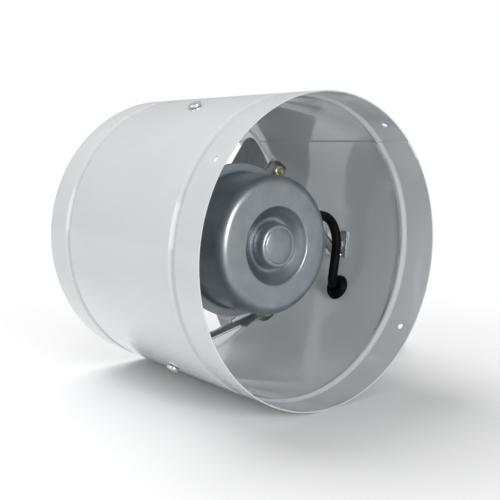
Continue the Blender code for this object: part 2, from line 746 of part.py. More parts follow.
def foot_mesh(ear):
    """The foot follows the wall, on the side towards the motor's ear."""
    heel = ear - ARM_SWEEP - FOOT_HEEL
    angles = [heel + (FOOT_HEEL + FOOT_TOE) * i / FOOT_STEPS for i in range(FOOT_STEPS + 1)]
    depths = (FOOT_FRONT_DEPTH, FOOT_FRONT_DEPTH + FOOT_WIDTH)
    wall = BORE_RADIUS - GAP
    outer = [[on_circle(wall, a, d) for a in angles] for d in depths]
    inner = [[on_circle(wall - ARM_THICKNESS, a, d) for a in angles] for d in depths]
    return sheet_grid("foot", outer, inner, False)


def build_arm(index, ear, materials, parent):
    """One arm: a tab under the motor's ear, a strap on edge and a foot on the wall."""
    name = f"strap_arm_{index}"
    foot = ear - ARM_SWEEP
    arm = add_piece(name, strap_mesh(name, ear), materials["zinc_plate"], parent)
    combine(arm, add_tool(name + "_tab", tab_mesh(ear), parent), "UNION")
    combine(arm, add_tool(name + "_foot", foot_mesh(ear), parent), "UNION")
    foot_hole = on_circle(BORE_RADIUS - GAP, foot, FOOT_HOLE_DEPTH)
    ear_hole = on_circle(EAR_BOLT_RADIUS, ear, ARM_TAB_DEPTH)
    holes = [(SCREW_HOLE_RADIUS, DRILL_REACH, foot_hole, outward(foot))]
    holes.append((SCREW_HOLE_RADIUS, DRILL_REACH, ear_hole, Vector((0.0, 1.0, 0.0))))
    drill(arm, holes, parent)


# --- Screws and nuts ---


def screw_outline(grip):
    """Pan-head screw: its head stands above 0 and its shank reaches down by grip."""
    head = SCREW_HEAD_RADIUS
    outline = [(0.0, -grip), (SCREW_RADIUS - SCREW_CHAMFER, -grip)]
    outline += [(SCREW_RADIUS, SCREW_CHAMFER - grip), (SCREW_RADIUS, 0.0), (head, 0.0)]
    outline += [(head, SCREW_HEAD_EDGE), (SCREW_HEAD_TOP_RADIUS, SCREW_HEAD_HEIGHT)]
    outline.append((0.0, SCREW_HEAD_HEIGHT))
    return outline


def nut_outline():
    """Hexagon nut standing on 0."""
    bore = SCREW_RADIUS / math.cos(math.pi / NUT_SIDES) + RUNNING_GAP
    return [(bore, 0.0), (NUT_RADIUS, 0.0), (NUT_RADIUS, NUT_HEIGHT), (bore, NUT_HEIGHT)]


def add_fastener(kind, index, screw_frame, grip, nut_frame, material, parent):
    """A screw whose head stands on one frame and a nut that stands on the other."""
    screw = turned(kind + "_screw", screw_outline(grip), SCREW_SIDES, screw_frame)
    add_piece(f"{kind}_screw_{index}", screw, material, parent)
    nut = turned(kind + "_nut", nut_outline(), NUT_SIDES, nut_frame)
    add_piece(f"{kind}_nut_{index}", nut, material, parent)


def build_fasteners(index, ear, materials, parent):
    """The screw and nut at one foot, and the screw and nut at one ear."""
    foot = ear - ARM_SWEEP
    axis = Vector((0.0, 1.0, 0.0))
    beyond = NUT_HEIGHT + SCREW_TIP
    head = on_circle(SHELL_RADIUS + GAP, foot, FOOT_HOLE_DEPTH)
    seat = on_circle(BORE_RADIUS - ARM_THICKNESS - 2 * GAP, foot, FOOT_HOLE_DEPTH)
    way = outward(foot)
    frames = (frame_on(head, way, axis), frame_on(seat, -way, axis))
    grip = SHELL_SHEET + ARM_THICKNESS + 3 * GAP + beyond
    add_fastener("foot", index, frames[0], grip, frames[1], materials["zinc_plate"], parent)

    head = on_circle(EAR_BOLT_RADIUS, ear, ARM_BACK_DEPTH + GAP)
    seat = on_circle(EAR_BOLT_RADIUS, ear, FLANGE_DEPTH - GAP)
    way = outward(ear)
    frames = (frame_on(head, axis, way), frame_on(seat, -axis, way))
    grip = 2 * MOTOR_SHEET + ARM_THICKNESS + 4 * GAP + beyond
    add_fastener("ear", index, frames[0], grip, frames[1], materials["yellow_zinc"], parent)


# --- Rotor ---


def ring(inner, outer, front, rear):
    """Rectangular ring outline between two radii and two depths."""
    return [(inner, front), (outer, front), (outer, rear), (inner, rear)]


def build_rotor(materials, parent):
    """Shaft, rotor core, its end rings and the thrust washers."""
    tip = SHAFT_RADIUS - SHAFT_CHAMFER
    front = POCKET_FLOOR_DEPTH + GAP + SHAFT_END_PLAY
    end = SHAFT_END_DEPTH
    shaft = [(0.0, front), (tip, front), (SHAFT_RADIUS, front + SHAFT_CHAMFER)]
    shaft += [(SHAFT_RADIUS, end - SHAFT_CHAMFER), (tip, end), (0.0, end)]
    mesh = turned("motor_shaft", shaft, SHAFT_SIDES)
    add_piece("motor_shaft", mesh, materials["bright_steel"], parent)

    bore = SHAFT_RADIUS + RUNNING_GAP
    core = ring(bore, ROTOR_RADIUS, STATOR_FRONT_DEPTH, STATOR_REAR_DEPTH)
    mesh = turned("rotor_core", core, ROTOR_SIDES)
    add_piece("rotor_core", mesh, materials["core_steel"], parent)

    near = STATOR_FRONT_DEPTH - GAP - END_RING_LENGTH
    outer = ROTOR_RADIUS - END_RING_INSET
    end_ring = ring(ROTOR_RADIUS - END_RING_WIDTH, outer, near, near + END_RING_LENGTH)
    cast = materials["cast_aluminium"]
    add_both_ends("rotor_end_ring", end_ring, ROTOR_SIDES, cast, parent)
    near = POCKET_FLOOR_DEPTH + BUSH_LENGTH + RETAINER_THICKNESS + 3 * GAP
    washer = ring(bore, THRUST_WASHER_RADIUS, near, near + THRUST_WASHER_THICKNESS)
    add_both_ends("thrust_washer", washer, BEARING_SIDES, materials["bronze"], parent)


# --- Impeller ---


def blade_pitch_depth(angle_behind_lead):
    """Depth of the blade's sheet this many degrees behind its leading edge."""
    return BLADE_FRONT_DEPTH + BLADE_AXIAL_DEPTH * angle_behind_lead / BLADE_CHORD_ANGLE


def blade_grids(lead):
    """Front and back grids of one blade whose leading edge is at this angle."""
    front = []
    back = []
    for row in BLADE_ROWS:
        front_row = []
        back_row = []
        for share in BLADE_COLUMNS:
            behind = share * BLADE_CHORD_ANGLE
            edge = min(share, 1 - share) * math.radians(BLADE_CHORD_ANGLE)
            root = BLADE_ROOT_RADIUS + corner_drop(edge * BLADE_ROOT_RADIUS)
            tip = BLADE_TIP_RADIUS - corner_drop(edge * BLADE_TIP_RADIUS)
            radius = root + (tip - root) * row
            depth = blade_pitch_depth(behind)
            front_row.append(on_circle(radius, lead - behind, depth))
            back_row.append(on_circle(radius, lead - behind, depth + BLADE_THICKNESS))
        front.append(front_row)
        back.append(back_row)
    return front, back


def corner_drop(from_edge):
    """How far a rounded corner pulls the outline in, this far from the side edge."""
    if from_edge >= BLADE_CORNER:
        return 0.0
    left = BLADE_CORNER - from_edge
    return BLADE_CORNER - math.sqrt(BLADE_CORNER ** 2 - left ** 2)


def arm_grids(middle):
    """Front and back grids of the spider arm under the blade centred on this angle."""
    front = []
    back = []
    angles = [middle + SPIDER_ARM_ANGLE * t for t in (0.5, 0.25, 0.0, -0.25, -0.5)]
    depths = [blade_pitch_depth(BLADE_CHORD_ANGLE / 2 + middle - a) for a in angles]
    pairs = list(zip(angles, depths))
    lift = BLADE_THICKNESS + SPIDER_ARM_LIFT
    start = SPIDER_RADIUS - SPIDER_ARM_OVERLAP
    for radius in (start, (start + SPIDER_ARM_RADIUS) / 2, SPIDER_ARM_RADIUS):
        front.append([on_circle(radius, a, d + lift) for a, d in pairs])
        back.append([on_circle(radius, a, d + lift + SPIDER_THICKNESS) for a, d in pairs])
    return front, back


def sheet_normal(radius, angle):
    """Unit vector square to the blade's sheet at a point, facing the motor."""
    turn = math.radians(angle)
    round_step = Vector((-math.sin(turn) * radius, 0.0, math.cos(turn) * radius))
    climb = -BLADE_AXIAL_DEPTH / math.radians(BLADE_CHORD_ANGLE)
    tangent = round_step + Vector((0.0, climb, 0.0))
    normal = tangent.cross(outward(angle)).normalized()
    return normal if normal.y < 0 else -normal


def build_hub(materials, parent):
    """Hub on the shaft, with the set screw that clamps it."""
    bore = SHAFT_RADIUS + RUNNING_GAP
    back = SPIDER_DEPTH - GAP
    hub = [(bore, HUB_FRONT_DEPTH), (HUB_RADIUS, HUB_FRONT_DEPTH)]
    hub += [(HUB_RADIUS, COLLAR_FRONT_DEPTH), (HUB_COLLAR_RADIUS, COLLAR_FRONT_DEPTH)]
    hub += [(HUB_COLLAR_RADIUS, back), (HUB_RADIUS, back)]
    hub += [(HUB_RADIUS, HUB_REAR_DEPTH), (bore, HUB_REAR_DEPTH)]
    mesh = turned("impeller_hub", hub, HUB_SIDES)
    piece = add_piece("impeller_hub", mesh, materials["cast_aluminium"], parent)
    angle = BLADE_LEADING_ANGLE - BLADE_CHORD_ANGLE / 2
    depth = (HUB_FRONT_DEPTH + COLLAR_FRONT_DEPTH) / 2
    way = outward(angle)
    centre = on_circle((SHAFT_RADIUS + HUB_RADIUS) / 2, angle, depth)
    drill(piece, [(SET_SCREW_RADIUS + HOLE_GAP, HUB_RADIUS / 2, centre, way)], parent)
    frame = frame_on(on_circle(SHAFT_RADIUS + GAP, angle, depth), way, (0.0, 1.0, 0.0))
    screw = [(0.0, 0.0), (SET_SCREW_RADIUS, 0.0)]
    screw += [(SET_SCREW_RADIUS, SET_SCREW_LENGTH), (0.0, SET_SCREW_LENGTH)]
    mesh = turned("hub_set_screw", screw, SCREW_SIDES, frame)
    add_piece("hub_set_screw", mesh, materials["bright_steel"], parent)


def rivet_outline():
    """Rivet whose head stands on 0 and whose tail closes behind the blade and the arm."""
    grip = BLADE_THICKNESS + SPIDER_THICKNESS + SPIDER_ARM_LIFT + 2 * GAP
    tail = -grip - RIVET_HEAD_HEIGHT
    outline = [(0.0, tail), (RIVET_TAIL_END_RADIUS, tail), (RIVET_TAIL_RADIUS, -grip)]
    outline += [(RIVET_SHANK_RADIUS, -grip), (RIVET_SHANK_RADIUS, 0.0), (RIVET_HEAD_RADIUS, 0.0)]
    outline += [(RIVET_HEAD_TOP_RADIUS, RIVET_HEAD_HEIGHT), (0.0, RIVET_HEAD_HEIGHT)]
    return outline


def build_blade(index, lead, materials, parent):
    """One blade and its rivets. Returns the rivets' holes, for the spider."""
    front, back = blade_grids(lead)
    name = f"impeller_blade_{index}"
    mesh = sheet_grid(name, front, back, False)
    blade = add_piece(name, mesh, materials["blade_steel"], parent)
    middle = lead - BLADE_CHORD_ANGLE / 2
    holes = []
    for row, radius in enumerate(RIVET_RADII, 1):
        way = sheet_normal(radius, middle)
        seat = on_circle(radius, middle, SPIDER_DEPTH) + way * GAP
        frame = frame_on(seat, way, outward(middle))
        mesh = turned("rivet", rivet_outline(), RIVET_SIDES, frame)
        add_piece(f"blade_rivet_{index}_{row}", mesh, materials["cast_aluminium"], parent)
        holes.append((RIVET_SHANK_RADIUS + HOLE_GAP, SHELL_DRILL_REACH, seat, way))
    drill(blade, holes, parent)
    return holes


def build_impeller(materials, parent):
    """Hub, spider, and blades riveted to its arms."""
    build_hub(materials, parent)
    disc = ring(HUB_RADIUS + GAP, SPIDER_RADIUS, SPIDER_DEPTH, SPIDER_DEPTH + SPIDER_THICKNESS)
    mesh = turned("impeller_spider", disc, SPIDER_SIDES)
    spider = add_piece("impeller_spider", mesh, materials["blade_steel"], parent)
    holes = []
    for i in range(BLADE_COUNT):
        lead = BLADE_LEADING_ANGLE + 360 / BLADE_COUNT * i
        front, back = arm_grids(lead - BLADE_CHORD_ANGLE / 2)
        tool = add_tool(f"spider_arm_{i + 1}", sheet_grid("arm", front, back, False), parent)
        combine(spider, tool, "UNION")
        holes += build_blade(i + 1, lead, materials, parent)
    drill(spider, holes, parent)


# --- Lead and grommets ---


def smooth_route(points, spacing):
    """Points along one smooth curve through the route, about this far apart."""
    padded = [2 * points[0] - points[1]] + points + [2 * points[-1] - points[-2]]
    route = []
    for before, start, end, after in zip(padded, padded[1:], padded[2:], padded[3:]):
        count = max(1, round((end - start).length / spacing))
        for i in range(count):
            t = i / count
            pull = (end - before) * t + (2 * before - 5 * start + 4 * end - after) * t ** 2
            pull += (3 * start - before - 3 * end + after) * t ** 3
            route.append(start + pull / 2)
    return route + [points[-1]]


def cord_piece(name, points, spacing, material, parent):
    """Round cord along a smooth route."""
    curve = bpy.data.curves.new(name, "CURVE")
    curve.dimensions = "3D"
    curve.bevel_depth = CORD_RADIUS
    curve.bevel_resolution = 2
    curve.use_fill_caps = True
    route = smooth_route(points, spacing)
    spline = curve.splines.new("POLY")
    spline.points.add(len(route) - 1)
    for slot, place in zip(spline.points, route):
        slot.co = (*place, 1.0)
    return add_piece(name, curve, material, parent)


def lead_points():
    """Route of the lead inside the duct, from the motor to the wall grommet."""
    start = MOTOR_RADIUS - MOTOR_SHEET - LEAD_START_DEPTH
    points = [on_circle(start, GLAND_ANGLE, GLAND_DEPTH)]
    for share, angle, forward in LEAD_ROUTE:
        radius = MOTOR_RADIUS + share * (BORE_RADIUS - MOTOR_RADIUS)
        points.append(on_circle(radius, angle, FLANGE_DEPTH - forward))
    points += [on_circle(BORE_RADIUS - inside, a, GROMMET_DEPTH) for inside, a in LEAD_ENTRY]
    points.append(on_circle(SHELL_RADIUS + GROMMET_LIP_HEIGHT, GROMMET_ANGLE, GROMMET_DEPTH))
    return points


def crown(radius, half_width):
    """How far a round wall of this radius falls away at half_width from its crown."""
    return radius - math.sqrt(radius ** 2 - half_width ** 2)


def grommet_outline(neck, lip_width, wall, lip_height):
    """Rubber ring through a sheet whose faces are at 0 and -wall."""
    bore = CORD_RADIUS + GAP
    lip = neck + lip_width
    top = lip * GROMMET_LIP_TOP_SHARE
    outline = [(bore, lip_height), (top, lip_height)]
    outline += [(lip, lip_height * GROMMET_LIP_EDGE_SHARE), (lip, GAP), (neck, GAP)]
    outline += [(neck, -wall - GAP), (lip, -wall - GAP), (top, -wall - lip_height)]
    outline.append((bore, -wall - lip_height))
    return outline


def build_gland(can, materials, parent):
    """Grommet where the lead leaves the motor, and its hole in the can."""
    way = outward(GLAND_ANGLE)
    wall = MOTOR_SHEET + 2 * GAP + crown(MOTOR_RADIUS, GLAND_NECK_RADIUS + GLAND_LIP)
    outline = grommet_outline(GLAND_NECK_RADIUS, GLAND_LIP, wall, GLAND_LIP_HEIGHT)
    seat = on_circle(MOTOR_RADIUS, GLAND_ANGLE, GLAND_DEPTH)
    mesh = turned("motor_gland", outline, GROMMET_SIDES, frame_on(seat, way, (0.0, 1.0, 0.0)))
    add_piece("motor_gland", mesh, materials["black_rubber"], parent)
    drill(can, [(GLAND_NECK_RADIUS + GAP, DRILL_REACH, seat, way)], parent)


def build_lead(materials, parent):
    """Black lead from the motor to the wall, and the grommet in the wall."""
    cord_piece("motor_lead", lead_points(), LEAD_SPACING, materials["black_pvc"], parent)
    wall = SHELL_SHEET + GAP + crown(SHELL_RADIUS, GROMMET_NECK_RADIUS + GROMMET_LIP)
    outline = grommet_outline(GROMMET_NECK_RADIUS, GROMMET_LIP, wall, GROMMET_LIP_HEIGHT)
    seat = on_circle(SHELL_RADIUS, GROMMET_ANGLE, GROMMET_DEPTH)
    frame = frame_on(seat, outward(GROMMET_ANGLE), (0.0, 1.0, 0.0))
    mesh = turned("wall_grommet", outline, GROMMET_SIDES, frame)
    add_piece("wall_grommet", mesh, materials["black_rubber"], parent)


# --- Mains cord and plug ---


def above_floor(x, y, z):
    """Point at a height above the surface that the fan lies on."""
    return Vector((x, y, z - AXIS_HEIGHT))


def coil_point(angle, radius, height):
    """Point at an angle in degrees and a radius from the coil's centre, seen from above."""
    turn = math.radians(angle)
    x = COIL_CENTRE[0] + radius * math.cos(turn)
    return above_floor(x, COIL_CENTRE[1] + radius * math.sin(turn), height)


def beside_coil(places):
    """Points of a cord that lies along the coil's outside."""
    radius = COIL_OUTER_RADIUS + CORD_RADIUS + 2 * GAP
    return [coil_point(angle, radius + out, height) for angle, out, height in places]


def build_cord(materials, parent):
    """Mains cord outside the duct: its run, its coil with a tie, its tail and its plug."""
    pvc = materials["black_pvc"]
    leave_radius = SHELL_RADIUS + GROMMET_LIP_HEIGHT + GAP
    leave = on_circle(leave_radius, GROMMET_ANGLE, GROMMET_DEPTH)
    run = [leave, leave + outward(GROMMET_ANGLE) * CORD_STRAIGHT_OUT]
    run += [above_floor(*place) for place in RUN_ROUTE]
    cord_piece("mains_cord", run + beside_coil(RUN_ARRIVAL), CORD_SPACING, pvc, parent)

    high = COIL_HEIGHT
    outline = [(COIL_INNER_RADIUS, 0.0), (COIL_OUTER_RADIUS, 0.0), (COIL_OUTER_RADIUS, high / 2)]
    outline += [(COIL_OUTER_RADIUS - CORD_RADIUS, high), (COIL_INNER_RADIUS + CORD_RADIUS, high)]
    outline.append((COIL_INNER_RADIUS, high / 2))
    centre = coil_point(0.0, 0.0, 0.0)
    coil = turned("cord_coil", outline, COIL_SIDES, Matrix.Translation(centre))
    add_piece("cord_coil", coil, pvc, parent)

    tail = beside_coil(TAIL_ROUTE)
    heading = tail[-1] - tail[-2]
    heading.z = 0.0
    heading.normalize()
    plug_start = tail[-1] + heading * TAIL_STRAIGHT
    plug_start.z = PLUG_HEIGHT / 2 - AXIS_HEIGHT
    tail += [plug_start - heading * TAIL_LEVEL, plug_start]
    cord_piece("cord_tail", tail, CORD_SPACING, pvc, parent)
    build_tie(centre, pvc, parent)
    build_plug(plug_start + heading * GAP, heading, materials, parent)


def build_tie(centre, material, parent):
    """Flat tie round the coil's turns."""
    flat = COIL_INNER_RADIUS * math.cos(math.pi / COIL_SIDES)
    inside = math.sqrt(flat ** 2 - (TIE_WIDTH / 2) ** 2) - GAP
    outside = COIL_OUTER_RADIUS + GAP
    over = COIL_HEIGHT + GAP
    thick = TIE_THICKNESS
    legs = [(inside - thick, 0.0), (inside - thick, over + thick)]
    legs += [(outside + thick, over + thick), (outside + thick, 0.0)]
    legs += [(outside, 0.0), (outside, over), (inside, over), (inside, 0.0)]
    turn = math.radians(TIE_ANGLE)
    side = Vector((math.cos(turn), math.sin(turn), 0.0))
    up = Vector((0.0, 0.0, 1.0))
    across = up.cross(side)
    frame = Matrix((side, up, -across)).transposed().to_4x4()
    frame.translation = centre + across * TIE_WIDTH / 2
    add_piece("cord_tie", plate("cord_tie", legs, TIE_WIDTH, frame), material, parent)


def build_plug(start, heading, materials, parent):
    """Moulded earthed plug, lying flat, with two blades and an earth pin."""
    up = Vector((0.0, 0.0, 1.0))
    side = up.cross(heading)
    half = PLUG_WIDTH / 2
    rise = PLUG_HEIGHT / 2
    cut = PLUG_CORNER
    outline = [(-half + cut, -rise), (half - cut, -rise), (half, -rise + cut), (half, rise - cut)]
    outline += [(half - cut, rise), (-half + cut, rise), (-half, rise - cut), (-half, -rise + cut)]
    body_start = start + heading * (RELIEF_LENGTH - RELIEF_SINK)
    frame = Matrix((-side, up, heading)).transposed().to_4x4()
    frame.translation = body_start
    mesh = plate("plug_body", outline, PLUG_LENGTH, frame)
    body = add_piece("plug_body", mesh, materials["black_pvc"], parent)
    relief = [(0.0, 0.0), (CORD_RADIUS + RELIEF_START_WALL, 0.0)]
    relief += [(CORD_RADIUS + RELIEF_END_WALL, RELIEF_LENGTH), (0.0, RELIEF_LENGTH)]
    mesh = turned("plug_relief", relief, RELIEF_SIDES, frame_on(start, heading, side))
    combine(body, add_tool("plug_relief", mesh, parent), "UNION")

    face = body_start + heading * (PLUG_LENGTH + GAP)
    thick = BLADE_PIN_HALF_THICKNESS
    wide = BLADE_PIN_HALF_WIDTH
    blade = [(-thick, -wide), (thick, -wide), (thick, wide), (-thick, wide)]
    for name, sign in (("plug_blade_left", -1.0), ("plug_blade_right", 1.0)):
        frame.translation = face + side * sign * BLADE_PIN_SPACING / 2 + up * BLADE_PIN_RISE
        mesh = plate(name, blade, BLADE_PIN_LENGTH, frame)
        add_piece(name, mesh, materials["pin_brass"], parent)
    pin = [(0.0, 0.0), (EARTH_PIN_RADIUS, 0.0)]
    pin += [(EARTH_PIN_RADIUS, EARTH_PIN_LENGTH - EARTH_PIN_TAPER)]
    pin += [(EARTH_PIN_TIP_RADIUS, EARTH_PIN_LENGTH), (0.0, EARTH_PIN_LENGTH)]
    place = frame_on(face - up * EARTH_PIN_DROP, heading, side)
    mesh = turned("plug_earth_pin", pin, RELIEF_SIDES, place)
    add_piece("plug_earth_pin", mesh, materials["pin_brass"], parent)


def build_fan():
    """The whole fan."""
    clear_scene()
    materials = make_materials()
    casing = make_empty("casing", AXIS_HEIGHT)
    rotor = make_empty("rotor", AXIS_HEIGHT)
    build_shell(materials["white_enamel"], casing)
    front = build_can("motor_can_front", 0.0, False, materials["motor_steel"], casing)
    build_can("motor_can_rear", SHAFT_RADIUS + SHAFT_HOLE_GAP, True, materials["motor_steel"], casing)
    build_gland(front, materials, casing)
    build_stator_core(materials, casing)
    build_winding(materials, casing)
    build_bearings(materials, casing)
    for index, ear in enumerate(ear_angles(), 1):
        build_arm(index, ear, materials, casing)
        build_fasteners(index, ear, materials, casing)
    build_rotor(materials, rotor)
    build_impeller(materials, rotor)
    build_lead(materials, casing)
    build_cord(materials, casing)


build_fan()
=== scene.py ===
"""Dresses the packed inline duct fan: fine pieces, finishes, its mains lead and a plain studio.

Metres, +Z up, in the frame of the CAD. The duct's axis runs along Y with its motor end at -Y.
Depths are measured along the axis from the rim at the motor end. Angles are round the axis, 0
at +X and 90 at +Z. A turned piece is modelled round Z and then carried to its place.
"""

from math import atan2, cos, degrees, hypot, pi, radians, sin, sqrt, tau

import bpy
from mathutils import Matrix, Vector


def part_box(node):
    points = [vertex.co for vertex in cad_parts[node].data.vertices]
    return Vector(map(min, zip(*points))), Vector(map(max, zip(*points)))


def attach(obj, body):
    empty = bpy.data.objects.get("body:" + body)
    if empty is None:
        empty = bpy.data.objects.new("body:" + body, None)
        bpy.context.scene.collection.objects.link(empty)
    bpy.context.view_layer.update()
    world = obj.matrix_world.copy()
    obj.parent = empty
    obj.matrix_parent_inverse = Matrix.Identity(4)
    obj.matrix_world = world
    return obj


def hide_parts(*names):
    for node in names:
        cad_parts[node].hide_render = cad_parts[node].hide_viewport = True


bl_info = {
    "name": "Inline Duct Fan",
    "version": (1, 0, 0),
    "blender": (4, 5, 0),
    "location": "3D View > Sidebar > Duct Fan",
    "description": "Builds the fine pieces, finishes and studio of an inline duct fan",
    "category": "Object",
}

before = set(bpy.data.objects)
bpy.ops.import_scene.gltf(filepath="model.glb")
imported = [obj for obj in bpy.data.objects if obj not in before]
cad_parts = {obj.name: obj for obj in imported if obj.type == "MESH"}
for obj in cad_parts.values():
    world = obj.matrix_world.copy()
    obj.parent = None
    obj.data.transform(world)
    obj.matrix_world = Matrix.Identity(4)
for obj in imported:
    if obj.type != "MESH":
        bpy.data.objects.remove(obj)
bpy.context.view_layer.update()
SHELL_LOW, SHELL_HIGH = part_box("duct_shell")
AXIS_HEIGHT = (SHELL_LOW.z + SHELL_HIGH.z) / 2
RADIUS = AXIS_HEIGHT
LENGTH = SHELL_HIGH.y - SHELL_LOW.y
FLOOR_GAP = 0.0002
MERGE = 1e-6

# --- Places that several pieces share ---
EARS = (54.0, 174.0, 294.0)
FEET = (-6.5, 113.5, 233.5)
RIM_HOLES = (53.5, 143.5, 233.5, 323.5)
RIM_ROUNDING = 0.3
SCREW_HOLE_RADIUS = 0.0023
GROMMET_HOLE_RADIUS = 0.0064
GLAND_HOLE_RADIUS = 0.0055
FLANGE_DEPTH = 0.0910
JOINT_DEPTH = 0.09235
MOTOR_SHEET = 0.0012
MOTOR_RADIUS = 0.0474
MOTOR_FACE_DEPTH = 0.0497
EAR_BOLT_RADIUS = 0.059
FOOT_DEPTH = 0.0867
FOOT_SHEET = 0.0015
ARM_TAB_DEPTH = 0.094
BORE_RADIUS = 0.0992
OUTSIDE_RADIUS = 0.1
GLAND_ANGLE = 20.0
GLAND_DEPTH = 0.0735
GROMMET_ANGLE = -25.5
GROMMET_DEPTH = 0.0815
GAP = 0.0003
BLADE_FRONT_DEPTH = 0.148
BLADE_DEPTH = 0.012
BLADE_CHORD = 48.0
BLADE_LEADS = tuple(54.0 + 72.0 * i for i in range(5))
SPIDER_DEPTH = 0.154
SPIDER_BORE = 0.0113
HUB_FRONT_DEPTH = 0.1435
HUB_LENGTH = 0.018
SHAFT_ENDS = (0.0500, 0.1655)
FLEX_RADIUS = 0.0036
COIL_CENTRE = (0.127, 0.050)

# The dish of the motor's ends: how far in from its edge, and how far below the face.
DISH_CURVE = (
    (0.0009, 0.0018), (0.0021, 0.0032), (0.0035, 0.0048), (0.0050, 0.0063), (0.0066, 0.0077),
    (0.0078, 0.0085), (0.0089, 0.0088),
)

# Way of the motor's lead inside the duct: share of the space between motor and wall, angle,
# distance in front of the motor's flange.
LEAD_ROUTE = (
    (0.110, 19.3, 0.0175), (0.190, 17.4, 0.0168), (0.280, 15.2, 0.0150), (0.380, 13.0, 0.0125),
    (0.490, 11.0, 0.0100), (0.610, 8.8, 0.0082), (0.700, 5.6, 0.0076), (0.745, 1.4, 0.0084),
    (0.757, -3.5, 0.0098), (0.757, -8.5, 0.0102), (0.768, -15.5, 0.0104),
    (0.792, -20.6, 0.0102),
)
LEAD_ENTRY = ((0.0082, -24.3), (0.0047, GROMMET_ANGLE), (0.0007, GROMMET_ANGLE))
# Way of the mains lead from the wall to the coil.
RUN_ROUTE = (
    (0.1155, -0.0095, 0.0425), (0.1290, -0.0095, 0.0308), (0.1382, -0.0093, 0.0228),
    (0.1522, -0.0068, 0.0116), (0.1657, 0.0010, 0.0050), (0.1758, 0.0130, 0.0038),
    (0.1809, 0.0277, 0.0038),
)
# The coil: radius and height of the lead by the angle that it has turned through.
COIL_RADII = (
    (-9.0, 0.0552), (-1.0, 0.0548), (70.0, 0.0468), (359.0, 0.0468), (430.0, 0.0396),
    (719.0, 0.0396), (790.0, 0.0324), (1079.0, 0.0324), (1150.0, 0.0360), (1300.0, 0.0360),
    (1369.0, 0.0432), (1655.0, 0.0432), (1729.0, 0.0506), (1805.0, 0.0550),
)
COIL_HEIGHTS = (
    (-9.0, 0.0038), (1009.0, 0.0038), (1079.0, 0.0100), (1114.0, 0.0110), (1150.0, 0.0100),
    (1300.0, 0.0100), (1334.0, 0.0111), (1369.0, 0.0100), (1439.0, 0.0100), (1474.0, 0.0110),
    (1510.0, 0.0100), (1655.0, 0.0100), (1692.0, 0.0111), (1729.0, 0.0102), (1805.0, 0.0108),
)
COIL_ENTRY = ((-9.0, 0.0552, 0.0038), (-1.0, 0.0548, 0.0038))
TAIL_ROUTE = ((5.0, 0.0550, 0.0108), (18.0, 0.0558, 0.0092), (31.0, 0.0586, 0.0082))
PLUG_RUN = 0.018
# Strain relief of the mains lead: radius at the wall, how much of it goes, and its ribs.
BOOT_RADIUS = 0.0071
BOOT_TAPER = 0.0028
BOOT_RIB = 0.00035
BOOT_PITCH = 0.0042

# The photograph's camera.
CAMERA_PLACE = (-0.3515, -0.4474, 0.1692)
CAMERA_WAY = (0.62250, 0.77134, -0.13278)

# The lamps: name, place, size, and whether reflections show them.
LAMPS = (
    ("top", (-0.15, 0.75, 1.35), (1.3, 1.3), False),
    ("side", (-1.6, 0.1, 0.5), (1.2, 0.8), True),
    ("front", (-0.35, -1.5, 0.5), (0.3, 0.9), True),
)


# --- Placing ---


def at_depth(depth):
    """Y of a plane at this depth behind the rim at the motor end."""
    return depth - LENGTH / 2


def outward(angle):
    """Unit vector away from the axis."""
    turn = radians(angle)
    return Vector((cos(turn), 0.0, sin(turn)))


def on_circle(radius, angle, depth):
    """Point at a radius and an angle round the axis, and at a depth."""
    return outward(angle) * radius + Vector((0.0, at_depth(depth), AXIS_HEIGHT))


def place_on(origin, normal, across):
    """Matrix at origin whose Z runs along normal and whose X leans towards across."""
    z_axis = Vector(normal).normalized()
    x_axis = Vector(across) - z_axis * Vector(across).dot(z_axis)
    x_axis.normalize()
    matrix = Matrix((x_axis, z_axis.cross(x_axis), z_axis)).transposed().to_4x4()
    matrix.translation = origin
    return matrix


def seat_at(radius, angle, depth):
    """Matrix at a point whose Z runs away from the duct's axis."""
    return place_on(on_circle(radius, angle, depth), outward(angle), ALONG)


ALONG = Vector((0.0, 1.0, 0.0))
UP = Vector((0.0, 0.0, 1.0))
AXIS_PLACE = place_on((0.0, -LENGTH / 2, AXIS_HEIGHT), ALONG, (1.0, 0.0, 0.0))
HERE = Matrix.Identity(4)


# --- Modelling ---


def deselect():
    """Leave edit mode and select nothing."""
    active = bpy.context.view_layer.objects.active
    if active is not None and active.mode != "OBJECT":
        leave()
    bpy.ops.object.select_all(action="DESELECT")


def pick(*pieces):
    """Select these pieces alone and make the first one active."""
    deselect()
    for piece in pieces:
        piece.select_set(True)
    bpy.context.view_layer.objects.active = pieces[0]


def leave():
    """Leave edit mode."""
    bpy.ops.object.mode_set(mode="OBJECT")


def named(name):
    """The new primitive, under its own name."""
    piece = bpy.context.object
    piece.name = piece.data.name = name
    return piece


def edit(piece, kind="VERT", action="DESELECT"):
    """Go into edit mode on one piece, with nothing or everything selected."""
    pick(piece)
    bpy.ops.object.mode_set(mode="EDIT")
    bpy.ops.mesh.select_mode(type=kind)
    bpy.ops.mesh.select_all(action=action)


def select_verts(piece, test):
    """Select the vertices of a piece whose place passes a test, ready to edit."""
    edit(piece)
    leave()
    for vertex in piece.data.vertices:
        vertex.select = test(vertex.co)
    bpy.ops.object.mode_set(mode="EDIT")


def close_up(closed):
    """Merge a ring's ends or fill the open ends, and turn every face outwards."""
    bpy.ops.mesh.select_all(action="SELECT")
    bpy.ops.mesh.remove_doubles(threshold=MERGE)
    if not closed:
        bpy.ops.mesh.fill_holes(sides=0)
    face_outwards()


def face_outwards():
    """Turn every face of a closed piece outwards and leave edit mode."""
    bpy.ops.mesh.select_all(action="SELECT")
    bpy.ops.mesh.normals_make_consistent(inside=False)
    leave()


